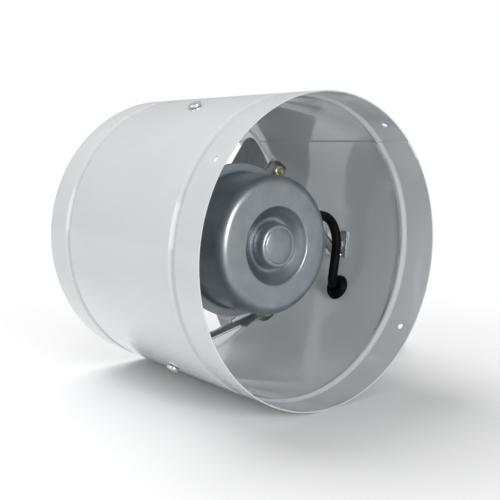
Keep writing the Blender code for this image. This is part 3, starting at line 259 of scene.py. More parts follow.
def carry(piece, place):
    """Carry a piece to its place and leave its object at the origin."""
    pick(piece)
    piece.matrix_world = place
    bpy.ops.object.transform_apply(location=True, rotation=True, scale=True)
    return piece


def turned(name, profile, sides, place=AXIS_PLACE, closed=False):
    """A circle extruded and widened ring by ring through (radius, height) points."""
    deselect()
    radius, height = profile[0]
    bpy.ops.mesh.primitive_circle_add(vertices=sides, radius=radius, location=(0, 0, height))
    piece = named(name)
    bpy.ops.object.transform_apply(location=True)
    edit(piece, "EDGE", "SELECT")
    for wider, higher in profile[1:] + (profile[:1] if closed else []):
        rise = {"value": (0.0, 0.0, higher - height)}
        bpy.ops.mesh.extrude_edges_move(TRANSFORM_OT_translate=rise)
        share = wider / radius
        scale(share, share, 1.0, (0.0, 0.0, higher))
        radius, height = wider, higher
    close_up(closed)
    return carry(piece, place)


def block(name, size, place, round_by=0.0, steps=3):
    """A box centred on its place, with its edges rounded."""
    deselect()
    bpy.ops.mesh.primitive_cube_add(size=1.0, scale=size)
    piece = named(name)
    bpy.ops.object.transform_apply(scale=True)
    if round_by:
        edit(piece, "VERT", "SELECT")
        bpy.ops.mesh.bevel(offset=round_by, segments=steps, affect="EDGES")
        leave()
    return carry(piece, place)


def sheet(name, columns, rows, lay):
    """A grid laid on a curved surface, which lay(u, v) gives from two shares."""
    deselect()
    bpy.ops.mesh.primitive_grid_add(x_subdivisions=columns, y_subdivisions=rows, size=1.0)
    piece = named(name)
    for vertex in piece.data.vertices:
        vertex.co = lay(vertex.co.x + 0.5, vertex.co.y + 0.5)
    return piece


def thicken(piece, thickness, offset):
    """Give a sheet its thickness."""
    modifier = piece.modifiers.new("Sheet", "SOLIDIFY")
    modifier.thickness = thickness
    modifier.offset = offset
    modifier.use_even_offset = True
    apply_modifiers(piece)


def soften(piece, width, steps=2, angle=40.0):
    """Round off the sharp edges."""
    modifier = piece.modifiers.new("Edges", "BEVEL")
    modifier.width = width
    modifier.segments = steps
    modifier.limit_method = "ANGLE"
    modifier.angle_limit = radians(angle)
    apply_modifiers(piece)


def apply_modifiers(piece):
    """Apply every modifier on a piece."""
    pick(piece)
    for modifier in list(piece.modifiers):
        bpy.ops.object.modifier_apply(modifier=modifier.name)


def unite(pieces):
    """One object from several, kept as they are."""
    pick(*pieces)
    if len(pieces) > 1:
        bpy.ops.object.join()
    return bpy.context.object


def combine(piece, tools, operation="DIFFERENCE"):
    """Cut a piece with its tools, or weld them to it."""
    tool = unite(tools)
    modifier = piece.modifiers.new("Tools", "BOOLEAN")
    modifier.operation = operation
    modifier.solver = "EXACT"
    modifier.object = tool
    apply_modifiers(piece)
    bpy.data.objects.remove(tool, do_unlink=True)


def pin(radius, reach, centre, way, sides=40):
    """A round cutter through a centre."""
    side = ALONG if abs(way.dot(ALONG)) < 0.5 else UP
    deselect()
    bpy.ops.mesh.primitive_cylinder_add(vertices=sides, radius=radius, depth=2 * reach)
    return carry(bpy.context.object, place_on(centre, way, side))


def drill(radius, reach, out, angle, depth, sides=40):
    """A round cutter through a wall, this far out from the axis at an angle and a depth."""
    return pin(radius, reach, on_circle(out, angle, depth), outward(angle), sides)


def scale(x, y, z, centre=(0.0, 0.0, 0.0)):
    """Widen what is selected from a centre."""
    bpy.ops.transform.resize(value=(x, y, z), center_override=centre)


def copy_of(piece, name, place):
    """A copy of a piece with its own mesh, carried to its place."""
    pick(piece)
    bpy.ops.object.duplicate()
    return carry(named(name), place)


def discard(*pieces):
    """Remove shapes that were only a pattern for copies."""
    for piece in pieces:
        bpy.data.objects.remove(piece, do_unlink=True)


def node_copy(node, name):
    """A merged copy of a CAD node's mesh, for a piece that keeps its shape."""
    deselect()
    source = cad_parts[node]
    piece = bpy.data.objects.new(name, source.data.copy())
    piece.data.name = name
    piece.matrix_world = source.matrix_world
    bpy.context.scene.collection.objects.link(piece)
    carry(piece, piece.matrix_world.copy())
    edit(piece, "VERT", "SELECT")
    bpy.ops.mesh.remove_doubles(threshold=MERGE)
    bpy.ops.mesh.dissolve_limited(angle_limit=radians(2.0))
    leave()
    piece.data.materials.clear()
    return piece


def arc(centre, radius, start, end, count):
    """Points of an arc from start to end degrees."""
    points = []
    for i in range(count):
        turn = radians(start + (end - start) * i / (count - 1))
        points.append((centre[0] + radius * cos(turn), centre[1] + radius * sin(turn)))
    return points


def done(piece, kind, body, *nodes, slot=None, smooth=35.0):
    """Give a finished piece its material and body, and hide the CAD nodes it stands for; slot
    is not used.
    """
    piece.data.materials.clear()
    piece.data.materials.append(paint(kind))
    if piece.type == "MESH":
        pick(piece)
        bpy.ops.object.shade_smooth_by_angle(angle=radians(smooth))
    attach(piece, body)
    if nodes:
        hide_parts(*nodes)
    return piece


def eased(table, angle):
    """Value at an angle in a table of (angle, value), easing from each row to the next."""
    if angle <= table[0][0]:
        return table[0][1]
    for (a, start), (b, end) in zip(table, table[1:]):
        if angle <= b:
            t = (angle - a) / (b - a)
            return start + (end - start) * t * t * (3 - 2 * t)
    return table[-1][1]


def smooth_route(points, spacing):
    """Points along one smooth curve through the route, about this far apart."""
    padded = [2 * points[0] - points[1]] + points + [2 * points[-1] - points[-2]]
    route = []
    for before, start, end, after in zip(padded, padded[1:], padded[2:], padded[3:]):
        count = max(1, round((end - start).length / spacing))
        for i in range(count):
            t = i / count
            pull = (end - before) * t + (2 * before - 5 * start + 4 * end - after) * t ** 2
            pull += (3 * start - before - 3 * end + after) * t ** 3
            route.append(start + pull / 2)
    return route + [points[-1]]


def lead_start():
    """First two points of the mains lead, straight out of the wall."""
    start = on_circle(OUTSIDE_RADIUS + 0.0024 + GAP, GROMMET_ANGLE, GROMMET_DEPTH)
    return [start, start + outward(GROMMET_ANGLE) * 0.012]


def tube(name, route, bevel, radii=None):
    """Round tube along a route, as a curve of one open spline; radii share the bevel out."""
    curve = bpy.data.curves.new(name, "CURVE")
    curve.dimensions = "3D"
    curve.bevel_depth = bevel
    curve.bevel_resolution = 8 if radii else 6
    curve.use_fill_caps = True
    spline = curve.splines.new("POLY")
    spline.points.add(len(route) - 1)
    for slot, point, radius in zip(spline.points, route, radii or [1.0] * len(route)):
        slot.co = (*point, 1.0)
        slot.radius = radius
    piece = bpy.data.objects.new(name, curve)
    bpy.context.scene.collection.objects.link(piece)
    return piece


# --- Shader maths ---


def operator(operation, reflected=False):
    """Method of Value that adds one Math node."""

    def method(self, other):
        return self.math(operation, *((other, self) if reflected else (self, other)))

    return method


class Value:
    """A number in a shader, so that its maths reads as Python."""

    def __init__(self, shader, socket):
        self.shader = shader
        self.socket = socket

    def math(self, operation, *values):
        """One Math node on these values."""
        inputs = dict(enumerate(values))
        return self.shader.node("Math", inputs, operation=operation)

    __add__ = operator("ADD")
    __radd__ = operator("ADD", True)
    __sub__ = operator("SUBTRACT")
    __rsub__ = operator("SUBTRACT", True)
    __mul__ = operator("MULTIPLY")
    __rmul__ = operator("MULTIPLY", True)

    def root(self):
        """Square root."""
        return self.math("SQRT", self)

    def sine(self):
        """Sine of an angle in radians."""
        return self.math("SINE", self)

    def between(self, low, high):
        """0 at low, 1 at high, and held there outside them."""
        inputs = {0: self, 1: low, 2: high, 3: 0.0, 4: 1.0}
        return self.shader.node("MapRange", inputs, clamp=True)


class Shader:
    """The nodes of a material or of the world."""

    def __init__(self, owner, keep=False):
        owner.use_nodes = True
        self.tree = owner.node_tree
        if not keep:
            self.tree.nodes.clear()

    def node(self, kind, inputs=None, output=0, **settings):
        """Any node: the values or links of its sockets, its output and its settings."""
        node = self.tree.nodes.new("ShaderNode" + kind)
        for name, value in settings.items():
            setattr(node, name, value)
        for key, value in (inputs or {}).items():
            if isinstance(value, Value):
                self.tree.links.new(value.socket, node.inputs[key])
            else:
                node.inputs[key].default_value = value
        return Value(self, node.outputs[output] if node.outputs else None)


class Finish(Shader):
    """A procedural material on the piece's own Object coordinates."""

    def __init__(self, name, metallic=0.0, roughness=0.5, constants=None):
        self.material = bpy.data.materials.new(name)
        super().__init__(self.material, keep=True)
        self.base = self.tree.nodes["Principled BSDF"]
        sockets = {"Metallic": metallic, "Roughness": roughness, **(constants or {})}
        for socket, value in sockets.items():
            self.base.inputs[socket].default_value = value
        self.place = self.node("TexCoord", output="Object")

    def noise(self, scale, detail=2.0, roughness=0.5, stretch=None):
        """Noise of about 1/scale metres; stretch squeezes it along the axes."""
        vector = self.place
        if stretch:
            inputs = {0: self.place, 1: stretch}
            vector = self.node("VectorMath", inputs, operation="MULTIPLY")
        inputs = {"Vector": vector, "Scale": scale, "Detail": detail, "Roughness": roughness}
        return self.node("TexNoise", inputs)

    def cells(self, scale):
        """Brightness of irregular cells about 1/scale metres across."""
        inputs = {"Vector": self.place, "Scale": scale}
        colour = self.node("TexVoronoi", inputs, "Color", feature="F1")
        return self.node("SeparateColor", {0: colour})

    def along(self):
        """Place along the duct's axis."""
        return self.node("SeparateXYZ", {0: self.place}, 1)

    def from_axis(self):
        """Distance from the duct's axis."""
        x, z = (self.node("SeparateXYZ", {0: self.place}, i) for i in (0, 2))
        z = z - AXIS_HEIGHT
        return (x * x + z * z).root()

    def blend(self, factor, low, high):
        """Colour between two colours, which may be links."""
        low = low if isinstance(low, Value) else (*low, 1.0)
        high = high if isinstance(high, Value) else (*high, 1.0)
        return self.node("Mix", {0: factor, 6: low, 7: high}, 2, data_type="RGBA")

    def feed(self, socket, value):
        """Link what varies over the surface to a socket of the shader."""
        self.tree.links.new(value.socket, self.base.inputs[socket])

    def colour(self, factor, low, high):
        """Vary the base colour between two colours."""
        self.feed("Base Color", self.blend(factor, low, high))

    def roughness(self, value):
        """Vary the roughness."""
        self.feed("Roughness", value)

    def relief(self, *layers):
        """Bump layers of (height value, depth in metres), one on the other."""
        normal = {}
        for height, depth in layers:
            inputs = {"Height": height, "Distance": depth, "Strength": 1.0, **normal}
            normal = {"Normal": self.node("Bump", inputs)}
        self.feed("Normal", normal["Normal"])


def shade(colour, share):
    """A colour made darker or paler."""
    return tuple(c * share for c in colour)


# --- Finishes ---


def white_enamel(name, colour):
    """Glossy stoved white paint: orange peel, faint drifts of shade and a little dust."""
    finish = Finish(name, constants={"Coat Weight": 1.0, "Coat Roughness": 0.06})
    drift = finish.noise(14.0, 2.0)
    dust = finish.noise(220.0, 4.0, 0.6).between(0.62, 0.8)
    base = finish.blend(drift.between(0.35, 0.65), shade(colour, 0.955), colour)
    finish.colour(dust * 0.25, base, shade(colour, 0.86))
    finish.roughness(0.12 + drift * 0.06 + dust * 0.1)
    finish.relief((finish.noise(55.0, 1.0), 0.00016), (finish.noise(420.0, 1.0), 0.000014))
    return finish.material


def drawn_zinc(name, colour):
    """Deep-drawn zinc-coated steel: drawing rings, cloudy bloom and fine scuffs."""
    finish = Finish(name, metallic=0.86)
    rings = (finish.from_axis() * 5200.0 + finish.noise(60.0) * 3.0).sine()
    cloud = finish.noise(70.0, 4.0, 0.6)
    scuff = finish.noise(900.0, 2.0, 0.7)
    tone = cloud.between(0.3, 0.7) * 0.7 + scuff.between(0.3, 0.7) * 0.3
    finish.colour(tone, shade(colour, 0.8), shade(colour, 1.1))
    finish.roughness(0.24 + cloud * 0.12 + scuff * 0.06)
    finish.relief((rings, 0.0000025), (finish.noise(45.0, 1.0), 0.00006))
    return finish.material


def rolled_steel(name, colour):
    """Cold-rolled sheet under a thin grey wash, with rolling lines and pale rubs."""
    finish = Finish(name, metallic=0.75)
    lines = finish.noise(260.0, 3.0, 0.6, (1.0, 6.0, 0.35))
    cloud = finish.noise(45.0, 3.0)
    tone = cloud.between(0.3, 0.7) * 0.6 + lines.between(0.35, 0.65) * 0.4
    finish.colour(tone, shade(colour, 0.78), shade(colour, 1.18))
    finish.roughness(0.34 + lines * 0.16)
    finish.relief((lines, 0.00003), (cloud, 0.0001))
    return finish.material


def plated(name, colour, bloom):
    """Zinc plating: small crystals, cloudy bloom and handling marks."""
    finish = Finish(name, metallic=0.92)
    cloud = finish.noise(160.0, 4.0, 0.6)
    crystals = finish.cells(900.0)
    marks = finish.noise(1500.0, 2.0, 0.7).between(0.55, 0.75)
    base = finish.blend(cloud.between(0.35, 0.65), colour, bloom)
    finish.colour(crystals * 0.3, base, shade(colour, 0.7))
    finish.roughness(0.24 + cloud * 0.12 + marks * 0.14)
    finish.relief((crystals, 0.000008), (marks, 0.00002))
    return finish.material


def laminations(name, colour):
    """Stack of punched sheets half a millimetre thick, varnished."""
    finish = Finish(name, metallic=0.8)
    sheets = (finish.along() * (tau / 0.0005)).sine()
    blotch = finish.noise(120.0, 3.0)
    finish.colour(sheets.between(-0.9, 0.2) * 0.6 + blotch * 0.4, shade(colour, 0.35), colour)
    finish.roughness(0.42 + blotch * 0.2)
    finish.relief((sheets, 0.00006))
    return finish.material


def enamelled_copper(name, colour):
    """Wound enamelled wire of half a millimetre under varnish."""
    finish = Finish(name, metallic=0.75, constants={"Coat Weight": 0.6, "Coat Roughness": 0.15})
    wander = finish.noise(90.0, 2.0) * 5.0
    turns = tau / 0.00055
    strands = (finish.from_axis() * turns + wander).sine()
    wire = (strands + (finish.along() * turns + wander).sine()) * 0.5
    finish.colour(wire.between(-0.9, 0.5), shade(colour, 0.3), colour)
    finish.roughness(0.3 + finish.noise(300.0) * 0.12)
    finish.relief((wire, 0.00012))
    return finish.material


def cast_metal(name, colour):
    """Cast aluminium: sandy grain, dull patches and polished high spots."""
    finish = Finish(name, metallic=0.85)
    grain = finish.noise(1400.0, 3.0, 0.7)
    patch = finish.noise(130.0, 3.0)
    finish.colour(patch.between(0.3, 0.7), shade(colour, 0.75), colour)
    finish.roughness(0.36 + grain * 0.2)
    finish.relief((grain, 0.00005), (patch, 0.00008))
    return finish.material


def machined_steel(name, colour):
    """Bright turned steel with tool marks and light handling stains."""
    finish = Finish(name, metallic=1.0)
    marks = ((finish.from_axis() + finish.along()) * 20000.0).sine()
    stain = finish.noise(220.0, 3.0)
    finish.colour(stain.between(0.3, 0.75), colour, shade(colour, 0.78))
    finish.roughness(0.18 + stain * 0.16)
    finish.relief((marks, 0.000004))
    return finish.material


def sintered_bronze(name, colour):
    """Porous oil-filled bronze."""
    finish = Finish(name, metallic=0.85)
    pores = finish.noise(2600.0, 2.0, 0.7).between(0.4, 0.6)
    finish.colour(pores, shade(colour, 0.45), colour)
    finish.roughness(0.3 + finish.noise(160.0, 3.0) * 0.3)
    finish.relief((pores, 0.00003))
    return finish.material


def moulded_rubber(name, colour, roughness, grain_depth):
    """Black rubber or flexible plastic: fine grain, dull bloom and rubbed spots."""
    finish = Finish(name, constants={"Specular IOR Level": 0.05})
    grain = finish.noise(1800.0, 2.0, 0.6)
    bloom = finish.noise(90.0, 3.0)
    finish.colour(bloom.between(0.45, 0.8), colour, tuple(c * 1.8 + 0.002 for c in colour))
    finish.roughness(roughness - 0.06 + grain * 0.08 + bloom * 0.08)
    finish.relief((grain, grain_depth))
    return finish.material


# --- Settings ---


def number(name, description, default, **kind):
    """A plain number."""
    return bpy.props.FloatProperty(name=name, description=description, default=default, **kind)


def length(name, description, default):
    """A length that the sidebar shows in the scene's units."""
    return number(name, description, default, min=0.0, precision=4, unit="LENGTH")


def sides(name, description, default):
    """A number of facets."""
    return bpy.props.IntProperty(name=name, description=description, default=default, min=32)


def tint(name, description, default):
    """A linear colour."""
    kind = {"size": 3, "min": 0.0, "max": 1.0, "subtype": "COLOR"}
    return bpy.props.FloatVectorProperty(
        name=name, description=description, default=default, **kind
    )


class DuctSettings(bpy.types.PropertyGroup):
    """Sizes of the rolled duct."""

    sheet: length("Sheet", "Thickness of the painted sheet", 0.0008)
    groove_inset: length("Groove inset", "From each rim to the middle of its groove", 0.0265)
    groove_width: length("Groove width", "Width of a rolled groove", 0.0084)
    groove_depth: length("Groove depth", "Depth of a rolled groove", 0.0018)
    seam_start: number("Seam start", "Angle in degrees where the lap begins", 35.8)
    seam_end: number("Seam end", "Angle in degrees where the lap ends", 44.45)
    hole_radius: length("Hole radius", "Radius of the screw holes near the front rim", 0.002)
    hole_inset: length("Hole inset", "From the front rim to its screw holes", 0.0105)
    sides: sides("Sides", "Facets round the duct", 240)


class MotorSettings(bpy.types.PropertyGroup):
    """Sizes of the drawn motor case."""

    shoulder: length("Shoulder", "Radius of the rounded front edge", 0.007)
    fillet: length("Flange fillet", "Radius between the side and the flange", 0.0022)
    flange_width: length("Flange width", "How far the flange stands out", 0.0069)
    dish_radius: length("Dish radius", "Radius of the dish at the face", 0.0265)
    dish_drop: length("Dish depth", "Depth of the dish below the face", 0.0088)
    boss_radius: length("Boss radius", "Radius of the bearing boss", 0.0151)
    boss_rise: length("Boss rise", "How far the boss stands before the face", 0.0022)
    ring_radius: length("Step radius", "Radius of the thin step round the boss", 0.0165)
    sides: sides("Sides", "Facets round the motor", 128)


class ImpellerSettings(bpy.types.PropertyGroup):
    """Sizes of the impeller."""

    tip_radius: length("Tip radius", "Radius of the blade tips", 0.0936)
    root_radius: length("Root radius", "Radius where the blades begin", 0.036)
    corner: length("Corner", "Rounding of the blades' corners", 0.009)
    blade_sheet: length("Blade sheet", "Thickness of a blade", 0.001)
    spider_sheet: length("Spider sheet", "Thickness of the spider", 0.0015)
    spider_radius: length("Spider radius", "Radius of the spider's disc", 0.031)
    arm_radius: length("Arm radius", "Radius of the ends of the spider's arms", 0.062)
    arm_angle: number("Arm angle", "Width of a spider arm in degrees", 18.0)


class LeadSettings(bpy.types.PropertyGroup):
    """Sizes of the mains lead."""

    step: length("Step", "Distance between the points of a lead", 0.003)
    boot: length("Strain relief", "Length of the tapered boot outside the wall", 0.024)
    coil_step: number("Coil step", "Degrees between the points of the coil", 6.0)


class FinishSettings(bpy.types.PropertyGroup):
    """Colours of the finishes."""

    enamel: tint("Enamel", "White stoved paint", (0.62, 0.65, 0.675))
    motor: tint("Motor", "Zinc-coated motor case", (0.31, 0.345, 0.37))
    blades: tint("Blades", "Grey sheet of the impeller", (0.36, 0.37, 0.38))
    zinc: tint("Zinc", "Bright zinc plating", (0.72, 0.75, 0.76))
    yellow: tint("Yellow zinc", "Passivated zinc plating", (0.58, 0.57, 0.46))
    rubber: tint("Rubber", "Black rubber", (0.003, 0.003, 0.0035))
    flex: tint("Flex", "Black flexible plastic", (0.0035, 0.0035, 0.004))


class StudioSettings(bpy.types.PropertyGroup):
    """Light and view."""

    world: number("World", "Strength of the light from all round", 0.36)
    mirror: number("Mirrored world", "Strength of the world in reflections", 0.6)
    top: number("Top lamp", "Power of the lamp above", 17.0, subtype="POWER")
    side: number("Side lamp", "Power of the lamp at the left", 5.5, subtype="POWER")
    front: number("Front lamp", "Power of the lamp before the motor", 14.0, subtype="POWER")
    lens: number("Lens", "Focal length in millimetres", 58.49)


GROUPS = {
    "fan_duct": DuctSettings,
    "fan_motor": MotorSettings,
    "fan_impeller": ImpellerSettings,
    "fan_lead": LeadSettings,
    "fan_finish": FinishSettings,
    "fan_studio": StudioSettings,
}


def paint(kind):
    """The material of this kind, made when it is first asked for."""
    name = "fan_" + kind
    made = bpy.data.materials.get(name)
    if made:
        return made
    colours = bpy.context.scene.fan_finish
    maker, *values = {
        "enamel": (white_enamel, colours.enamel),
        "motor": (drawn_zinc, colours.motor),
        "blades": (rolled_steel, colours.blades),
        "zinc": (plated, colours.zinc, (0.60, 0.66, 0.68)),
        "yellow": (plated, colours.yellow, (0.60, 0.54, 0.32)),
        "core": (laminations, (0.34, 0.33, 0.33)),
        "copper": (enamelled_copper, (0.62, 0.24, 0.09)),
        "cast": (cast_metal, (0.58, 0.58, 0.59)),
        "steel": (machined_steel, (0.62, 0.62, 0.63)),
        "bronze": (sintered_bronze, (0.50, 0.31, 0.13)),
        "rubber": (moulded_rubber, colours.rubber, 0.46, 0.00002),
        "flex": (moulded_rubber, colours.flex, 0.44, 0.000012),
        "brass": (machined_steel, (0.66, 0.60, 0.44)),
    }[kind]
    return maker(name, *values)


# --- Operators ---


class FAN_OT_camera(bpy.types.Operator):
    """Set the camera at the photograph's angle"""

    bl_idname = "fan.camera"
    bl_label = "Camera"

    def execute(self, context):
        deselect()
        way = Vector(CAMERA_WAY).normalized()
        bpy.ops.object.camera_add(location=CAMERA_PLACE)
        camera = context.object
        camera.name = "fan_camera"
        camera.rotation_euler = way.to_track_quat("-Z", "Y").to_euler()
        camera.data.sensor_width = 36.0
        camera.data.lens = context.scene.fan_studio.lens
        context.scene.camera = camera
        return {"FINISHED"}


def coil_point(angle, radius, height):
    """Point of the coil, seen from above."""
    turn = radians(angle)
    x = COIL_CENTRE[0] + radius * cos(turn)
    return Vector((x, COIL_CENTRE[1] + radius * sin(turn), height))


def build_tie():
    """Flat tie round the coil."""
    tie = node_copy("cord_tie", "coil_tie")
    soften(tie, 0.0003, 3)
    return done(tie, "rubber", "casing", "cord_tie", slot="black_pvc")


def build_plug(start, heading):
    """Moulded plug with a ribbed relief, finger grips, two blades and an earth pin."""
    side = UP.cross(heading)
    frame_here = place_on(start, heading, side)
    body_start = 0.022
    size = (0.026, 0.018, 0.038)
    middle = frame_here @ Matrix.Translation((0.0, 0.0, body_start + size[2] / 2))
    body = block("plug", size, middle, 0.0038, 5)
    grips = []
    for i in range(6):
        z = 0.006 + 0.0042 * i - size[2] / 2 + 0.004
        for x in (-1.0, 1.0):
            at = middle @ Matrix.Translation((x * (size[0] / 2 + 0.0002), 0.0, z))
            grips.append(block("grip", (0.0016, 0.013, 0.0017), at, 0.0006, 2))
    combine(body, grips)
    ribs = [(FLEX_RADIUS + 0.0002, 0.0), (0.0043, 0.0)]
    for i in range(6):
        z = 0.0022 + i * 0.0031
        wide = 0.0043 + 0.0003 * i
        ribs += [(wide, z), (wide - 0.0011, z + 0.0004), (wide - 0.0011, z + 0.0013)]
        ribs.append((wide + 0.0002, z + 0.0017))
    ribs += [(0.0062, 0.0205), (0.0072, 0.0226), (FLEX_RADIUS + 0.0002, 0.0226)]
    relief = turned("relief", ribs, 48, frame_here, closed=True)
    combine(body, [relief], "UNION")
    rim = middle @ Matrix.Translation((0.0, 0.0, size[2] / 2 - 0.0012))
    groove = [
        block("groove", (0.040, 0.0005, 0.0005), rim @ Matrix.Translation((0, y, 0)))
        for y in (-0.009, 0.009)
    ]
    combine(body, groove)
    done(body, "flex", "casing", "plug_body", smooth=40.0)
    face = start + heading * (body_start + size[2] + GAP)
    pieces = [body]
    for name, sign in (("plug_blade_left", -1.0), ("plug_blade_right", 1.0)):
        at = face + side * sign * 0.00635 + UP * 0.0018 + heading * 0.0175 / 2
        blade = block(name + "_fine", (0.0062, 0.0015, 0.0175), place_on(at, heading, UP))
        hole = pin(0.0016, 0.004, at + heading * 0.0048, side, 32)
        combine(blade, [hole])
        soften(blade, 0.0003, 2)
        done(blade, "brass", "casing", name)
        pieces.append(blade)
    profile = [(0.0024, 0.0), (0.0024, 0.0172)]
    profile += arc((0.0, 0.0172), 0.0024, 8, 84, 8)
    earth = turned("plug_earth_fine", profile, 40, place_on(face - UP * 0.0052, heading, side))
    done(earth, "brass", "casing", "plug_earth_pin")
    return pieces + [earth]


class FAN_OT_mains_lead(bpy.types.Operator):
    """Lay the mains lead: out of the wall, down, round its coil and on to its plug"""

    bl_idname = "fan.mains_lead"
    bl_label = "Mains lead and plug"

    def execute(self, context):
        settings = context.scene.fan_lead
        points = lead_start() + [Vector(place) for place in RUN_ROUTE]
        points += [coil_point(*place) for place in COIL_ENTRY]
        route = smooth_route(points, settings.step)
        angle = COIL_ENTRY[-1][0] + settings.coil_step
        while angle < COIL_RADII[-1][0]:
            place = eased(COIL_RADII, angle), eased(COIL_HEIGHTS, angle)
            route.append(coil_point(angle, *place))
            angle += settings.coil_step
        tail = [coil_point(*place) for place in TAIL_ROUTE]
        heading = tail[-1] - tail[-2]
        heading.z = 0.0
        heading.normalize()
        start = tail[-1] + heading * PLUG_RUN
        start.z = 0.009
        tail += [start - heading * 0.008, start]
        route += smooth_route(tail, settings.step)
        lead = tube("mains_lead", route, FLEX_RADIUS)
        done(lead, "flex", "casing", "mains_cord", "cord_coil", "cord_tail")
        plug = build_plug(start + heading * GAP, heading)
        tie = build_tie()
        length = sum((b - a).length for a, b in zip(route, route[1:]))
        tuple(route[0])
        return {"FINISHED"}


def inset_at(depth, settings):
    """How far a groove pulls the sheet in at this depth."""
    middle = settings.groove_inset if depth < LENGTH / 2 else LENGTH - settings.groove_inset
    share = abs(depth - middle) / (settings.groove_width / 2)
    return settings.groove_depth * (1 + cos(pi * min(1.0, share))) / 2


def wall_points(radius, settings):
    """One face of the sheet from the front rim to the rear rim, through both grooves."""
    edge = settings.sheet * RIM_ROUNDING
    half = settings.groove_width / 2
    points = [(radius, edge)]
    for middle in (settings.groove_inset, LENGTH - settings.groove_inset):
        for i in range(17):
            depth = middle + (i / 8 - 1) * half
            points.append((radius - inset_at(depth, settings), depth))
    return points + [(radius, LENGTH - edge)]


def fold_lap(duct, settings):
    """Step the inside face in by one sheet where the duct's edges lap."""
    bore = RADIUS - settings.sheet
    low, high = settings.seam_start, settings.seam_end

    def inside(co, margin):
        radius = hypot(co.x, co.z - AXIS_HEIGHT)
        angle = degrees(atan2(co.z - AXIS_HEIGHT, co.x))
        limit = bore - inset_at(co.y + LENGTH / 2, settings) + settings.sheet * 0.35
        return radius < limit and low - margin < angle < high + margin

    for angle in (low, low + 0.3, high - 0.1, high):
        select_verts(duct, lambda co: inside(co, 4.0))
        bpy.ops.mesh.select_mode(type="FACE")
        bpy.ops.mesh.bisect(
            plane_co=(0.0, 0.0, AXIS_HEIGHT), plane_no=tuple(outward(angle + 90.0))
        )
    select_verts(duct, lambda co: inside(co, -0.05))
    share = (bore - settings.sheet) / bore
    scale(share, 1.0, share, (0.0, 0.0, AXIS_HEIGHT))
    leave()


class FAN_OT_duct(bpy.types.Operator):
    """Roll the duct: two grooves, a lap seam, rim holes and the arms' and lead's holes"""

    bl_idname = "fan.duct"
    bl_label = "Duct"

    def execute(self, context):
        settings = context.scene.fan_duct
        bore = RADIUS - settings.sheet
        edge = settings.sheet * RIM_ROUNDING
        profile = [(RADIUS - edge, 0.0)] + wall_points(RADIUS, settings)
        profile += [(RADIUS - edge, LENGTH), (bore + edge, LENGTH)]
        profile += wall_points(bore, settings)[::-1] + [(bore + edge, 0.0)]
        duct = turned("duct", profile, settings.sides, closed=True)
        fold_lap(duct, settings)
        holes = [(settings.hole_radius, angle, settings.hole_inset) for angle in RIM_HOLES]
        holes += [(SCREW_HOLE_RADIUS, angle, FOOT_DEPTH) for angle in FEET]
        pins = [drill(radius, 0.006, RADIUS, angle, depth) for radius, angle, depth in holes]
        pins.append(drill(GROMMET_HOLE_RADIUS, 0.006, RADIUS, GROMMET_ANGLE, GROMMET_DEPTH, 64))
        combine(duct, pins)
        done(duct, "enamel", "casing", "duct_shell", smooth=28.0)
        return {"FINISHED"}


def can_profile(settings, hole):
    """Outside of a can, from its flange to its boss."""
    face = MOTOR_FACE_DEPTH
    floor = face + settings.dish_drop
    fillet = settings.fillet
    shoulder = settings.shoulder
    flange = MOTOR_RADIUS + settings.flange_width
    path = [(flange, FLANGE_DEPTH + 0.0006), (flange - 0.0003, FLANGE_DEPTH)]
    path += arc((MOTOR_RADIUS + fillet, FLANGE_DEPTH - fillet), fillet, 90, 180, 6)
    path += arc((MOTOR_RADIUS - shoulder, face + shoulder), shoulder, 0, -90, 12)
    rim = settings.dish_radius
    path += arc((rim + 0.0012, face + 0.0018), 0.0018, -90, -145, 6)
    path += [(rim - d, face + h) for d, h in DISH_CURVE]
    ring = settings.ring_radius
    path += [(ring + 0.0007, floor), (ring + 0.0004, floor - 0.0005)]
    path += [(ring, floor - 0.0006), (ring - 0.0004, floor - 0.0004)]
    path += [(ring - 0.0006, floor + 0.0001)]
    boss = settings.boss_radius
    top = face - settings.boss_rise
    path += [(boss + 0.0006, floor + 0.0001), (boss + 0.0001, floor - 0.0004)]
    path += arc((boss - 0.0024, top + 0.0024), 0.0024, 0, -80, 8)
    cap = boss - 0.0036
    path += [(cap + 0.0004, top), (cap, top + 0.0004), (cap - 0.0005, top + 0.0001)]
    path.append((hole, top))
    return path


def build_can(name, settings, behind):
    """One can with its three ears."""
    path = can_profile(settings, 0.0052 if behind else 0.0008)
    can = turned(name, path, settings.sides)
    open_ends(can, behind)
    thicken(can, MOTOR_SHEET, -1.0)
    ears = [build_ear(angle) for angle in EARS]
    combine(can, ears, "UNION")
    bolts = [on_circle(EAR_BOLT_RADIUS, angle, FLANGE_DEPTH) for angle in EARS]
    combine(can, [pin(SCREW_HOLE_RADIUS, 0.004, bolt, ALONG) for bolt in bolts])
    if behind:
        edit(can, "VERT", "SELECT")
        joint = (0.0, at_depth(JOINT_DEPTH), AXIS_HEIGHT)
        bpy.ops.transform.mirror(constraint_axis=(False, True, False), center_override=joint)
        face_outwards()
    return can


def open_ends(can, both):
    """Take away the caps that closing the turned sheet left on its flange and its hole."""
    edit(can, "FACE")
    leave()
    places = [vertex.co for vertex in can.data.vertices]
    for face in can.data.polygons:
        wide = max(hypot(places[i].x, places[i].z - AXIS_HEIGHT) for i in face.vertices)
        face.select = len(face.vertices) > 8 and (wide > 0.03 or both)
    bpy.ops.object.mode_set(mode="EDIT")
    bpy.ops.mesh.delete(type="FACE")
    leave()


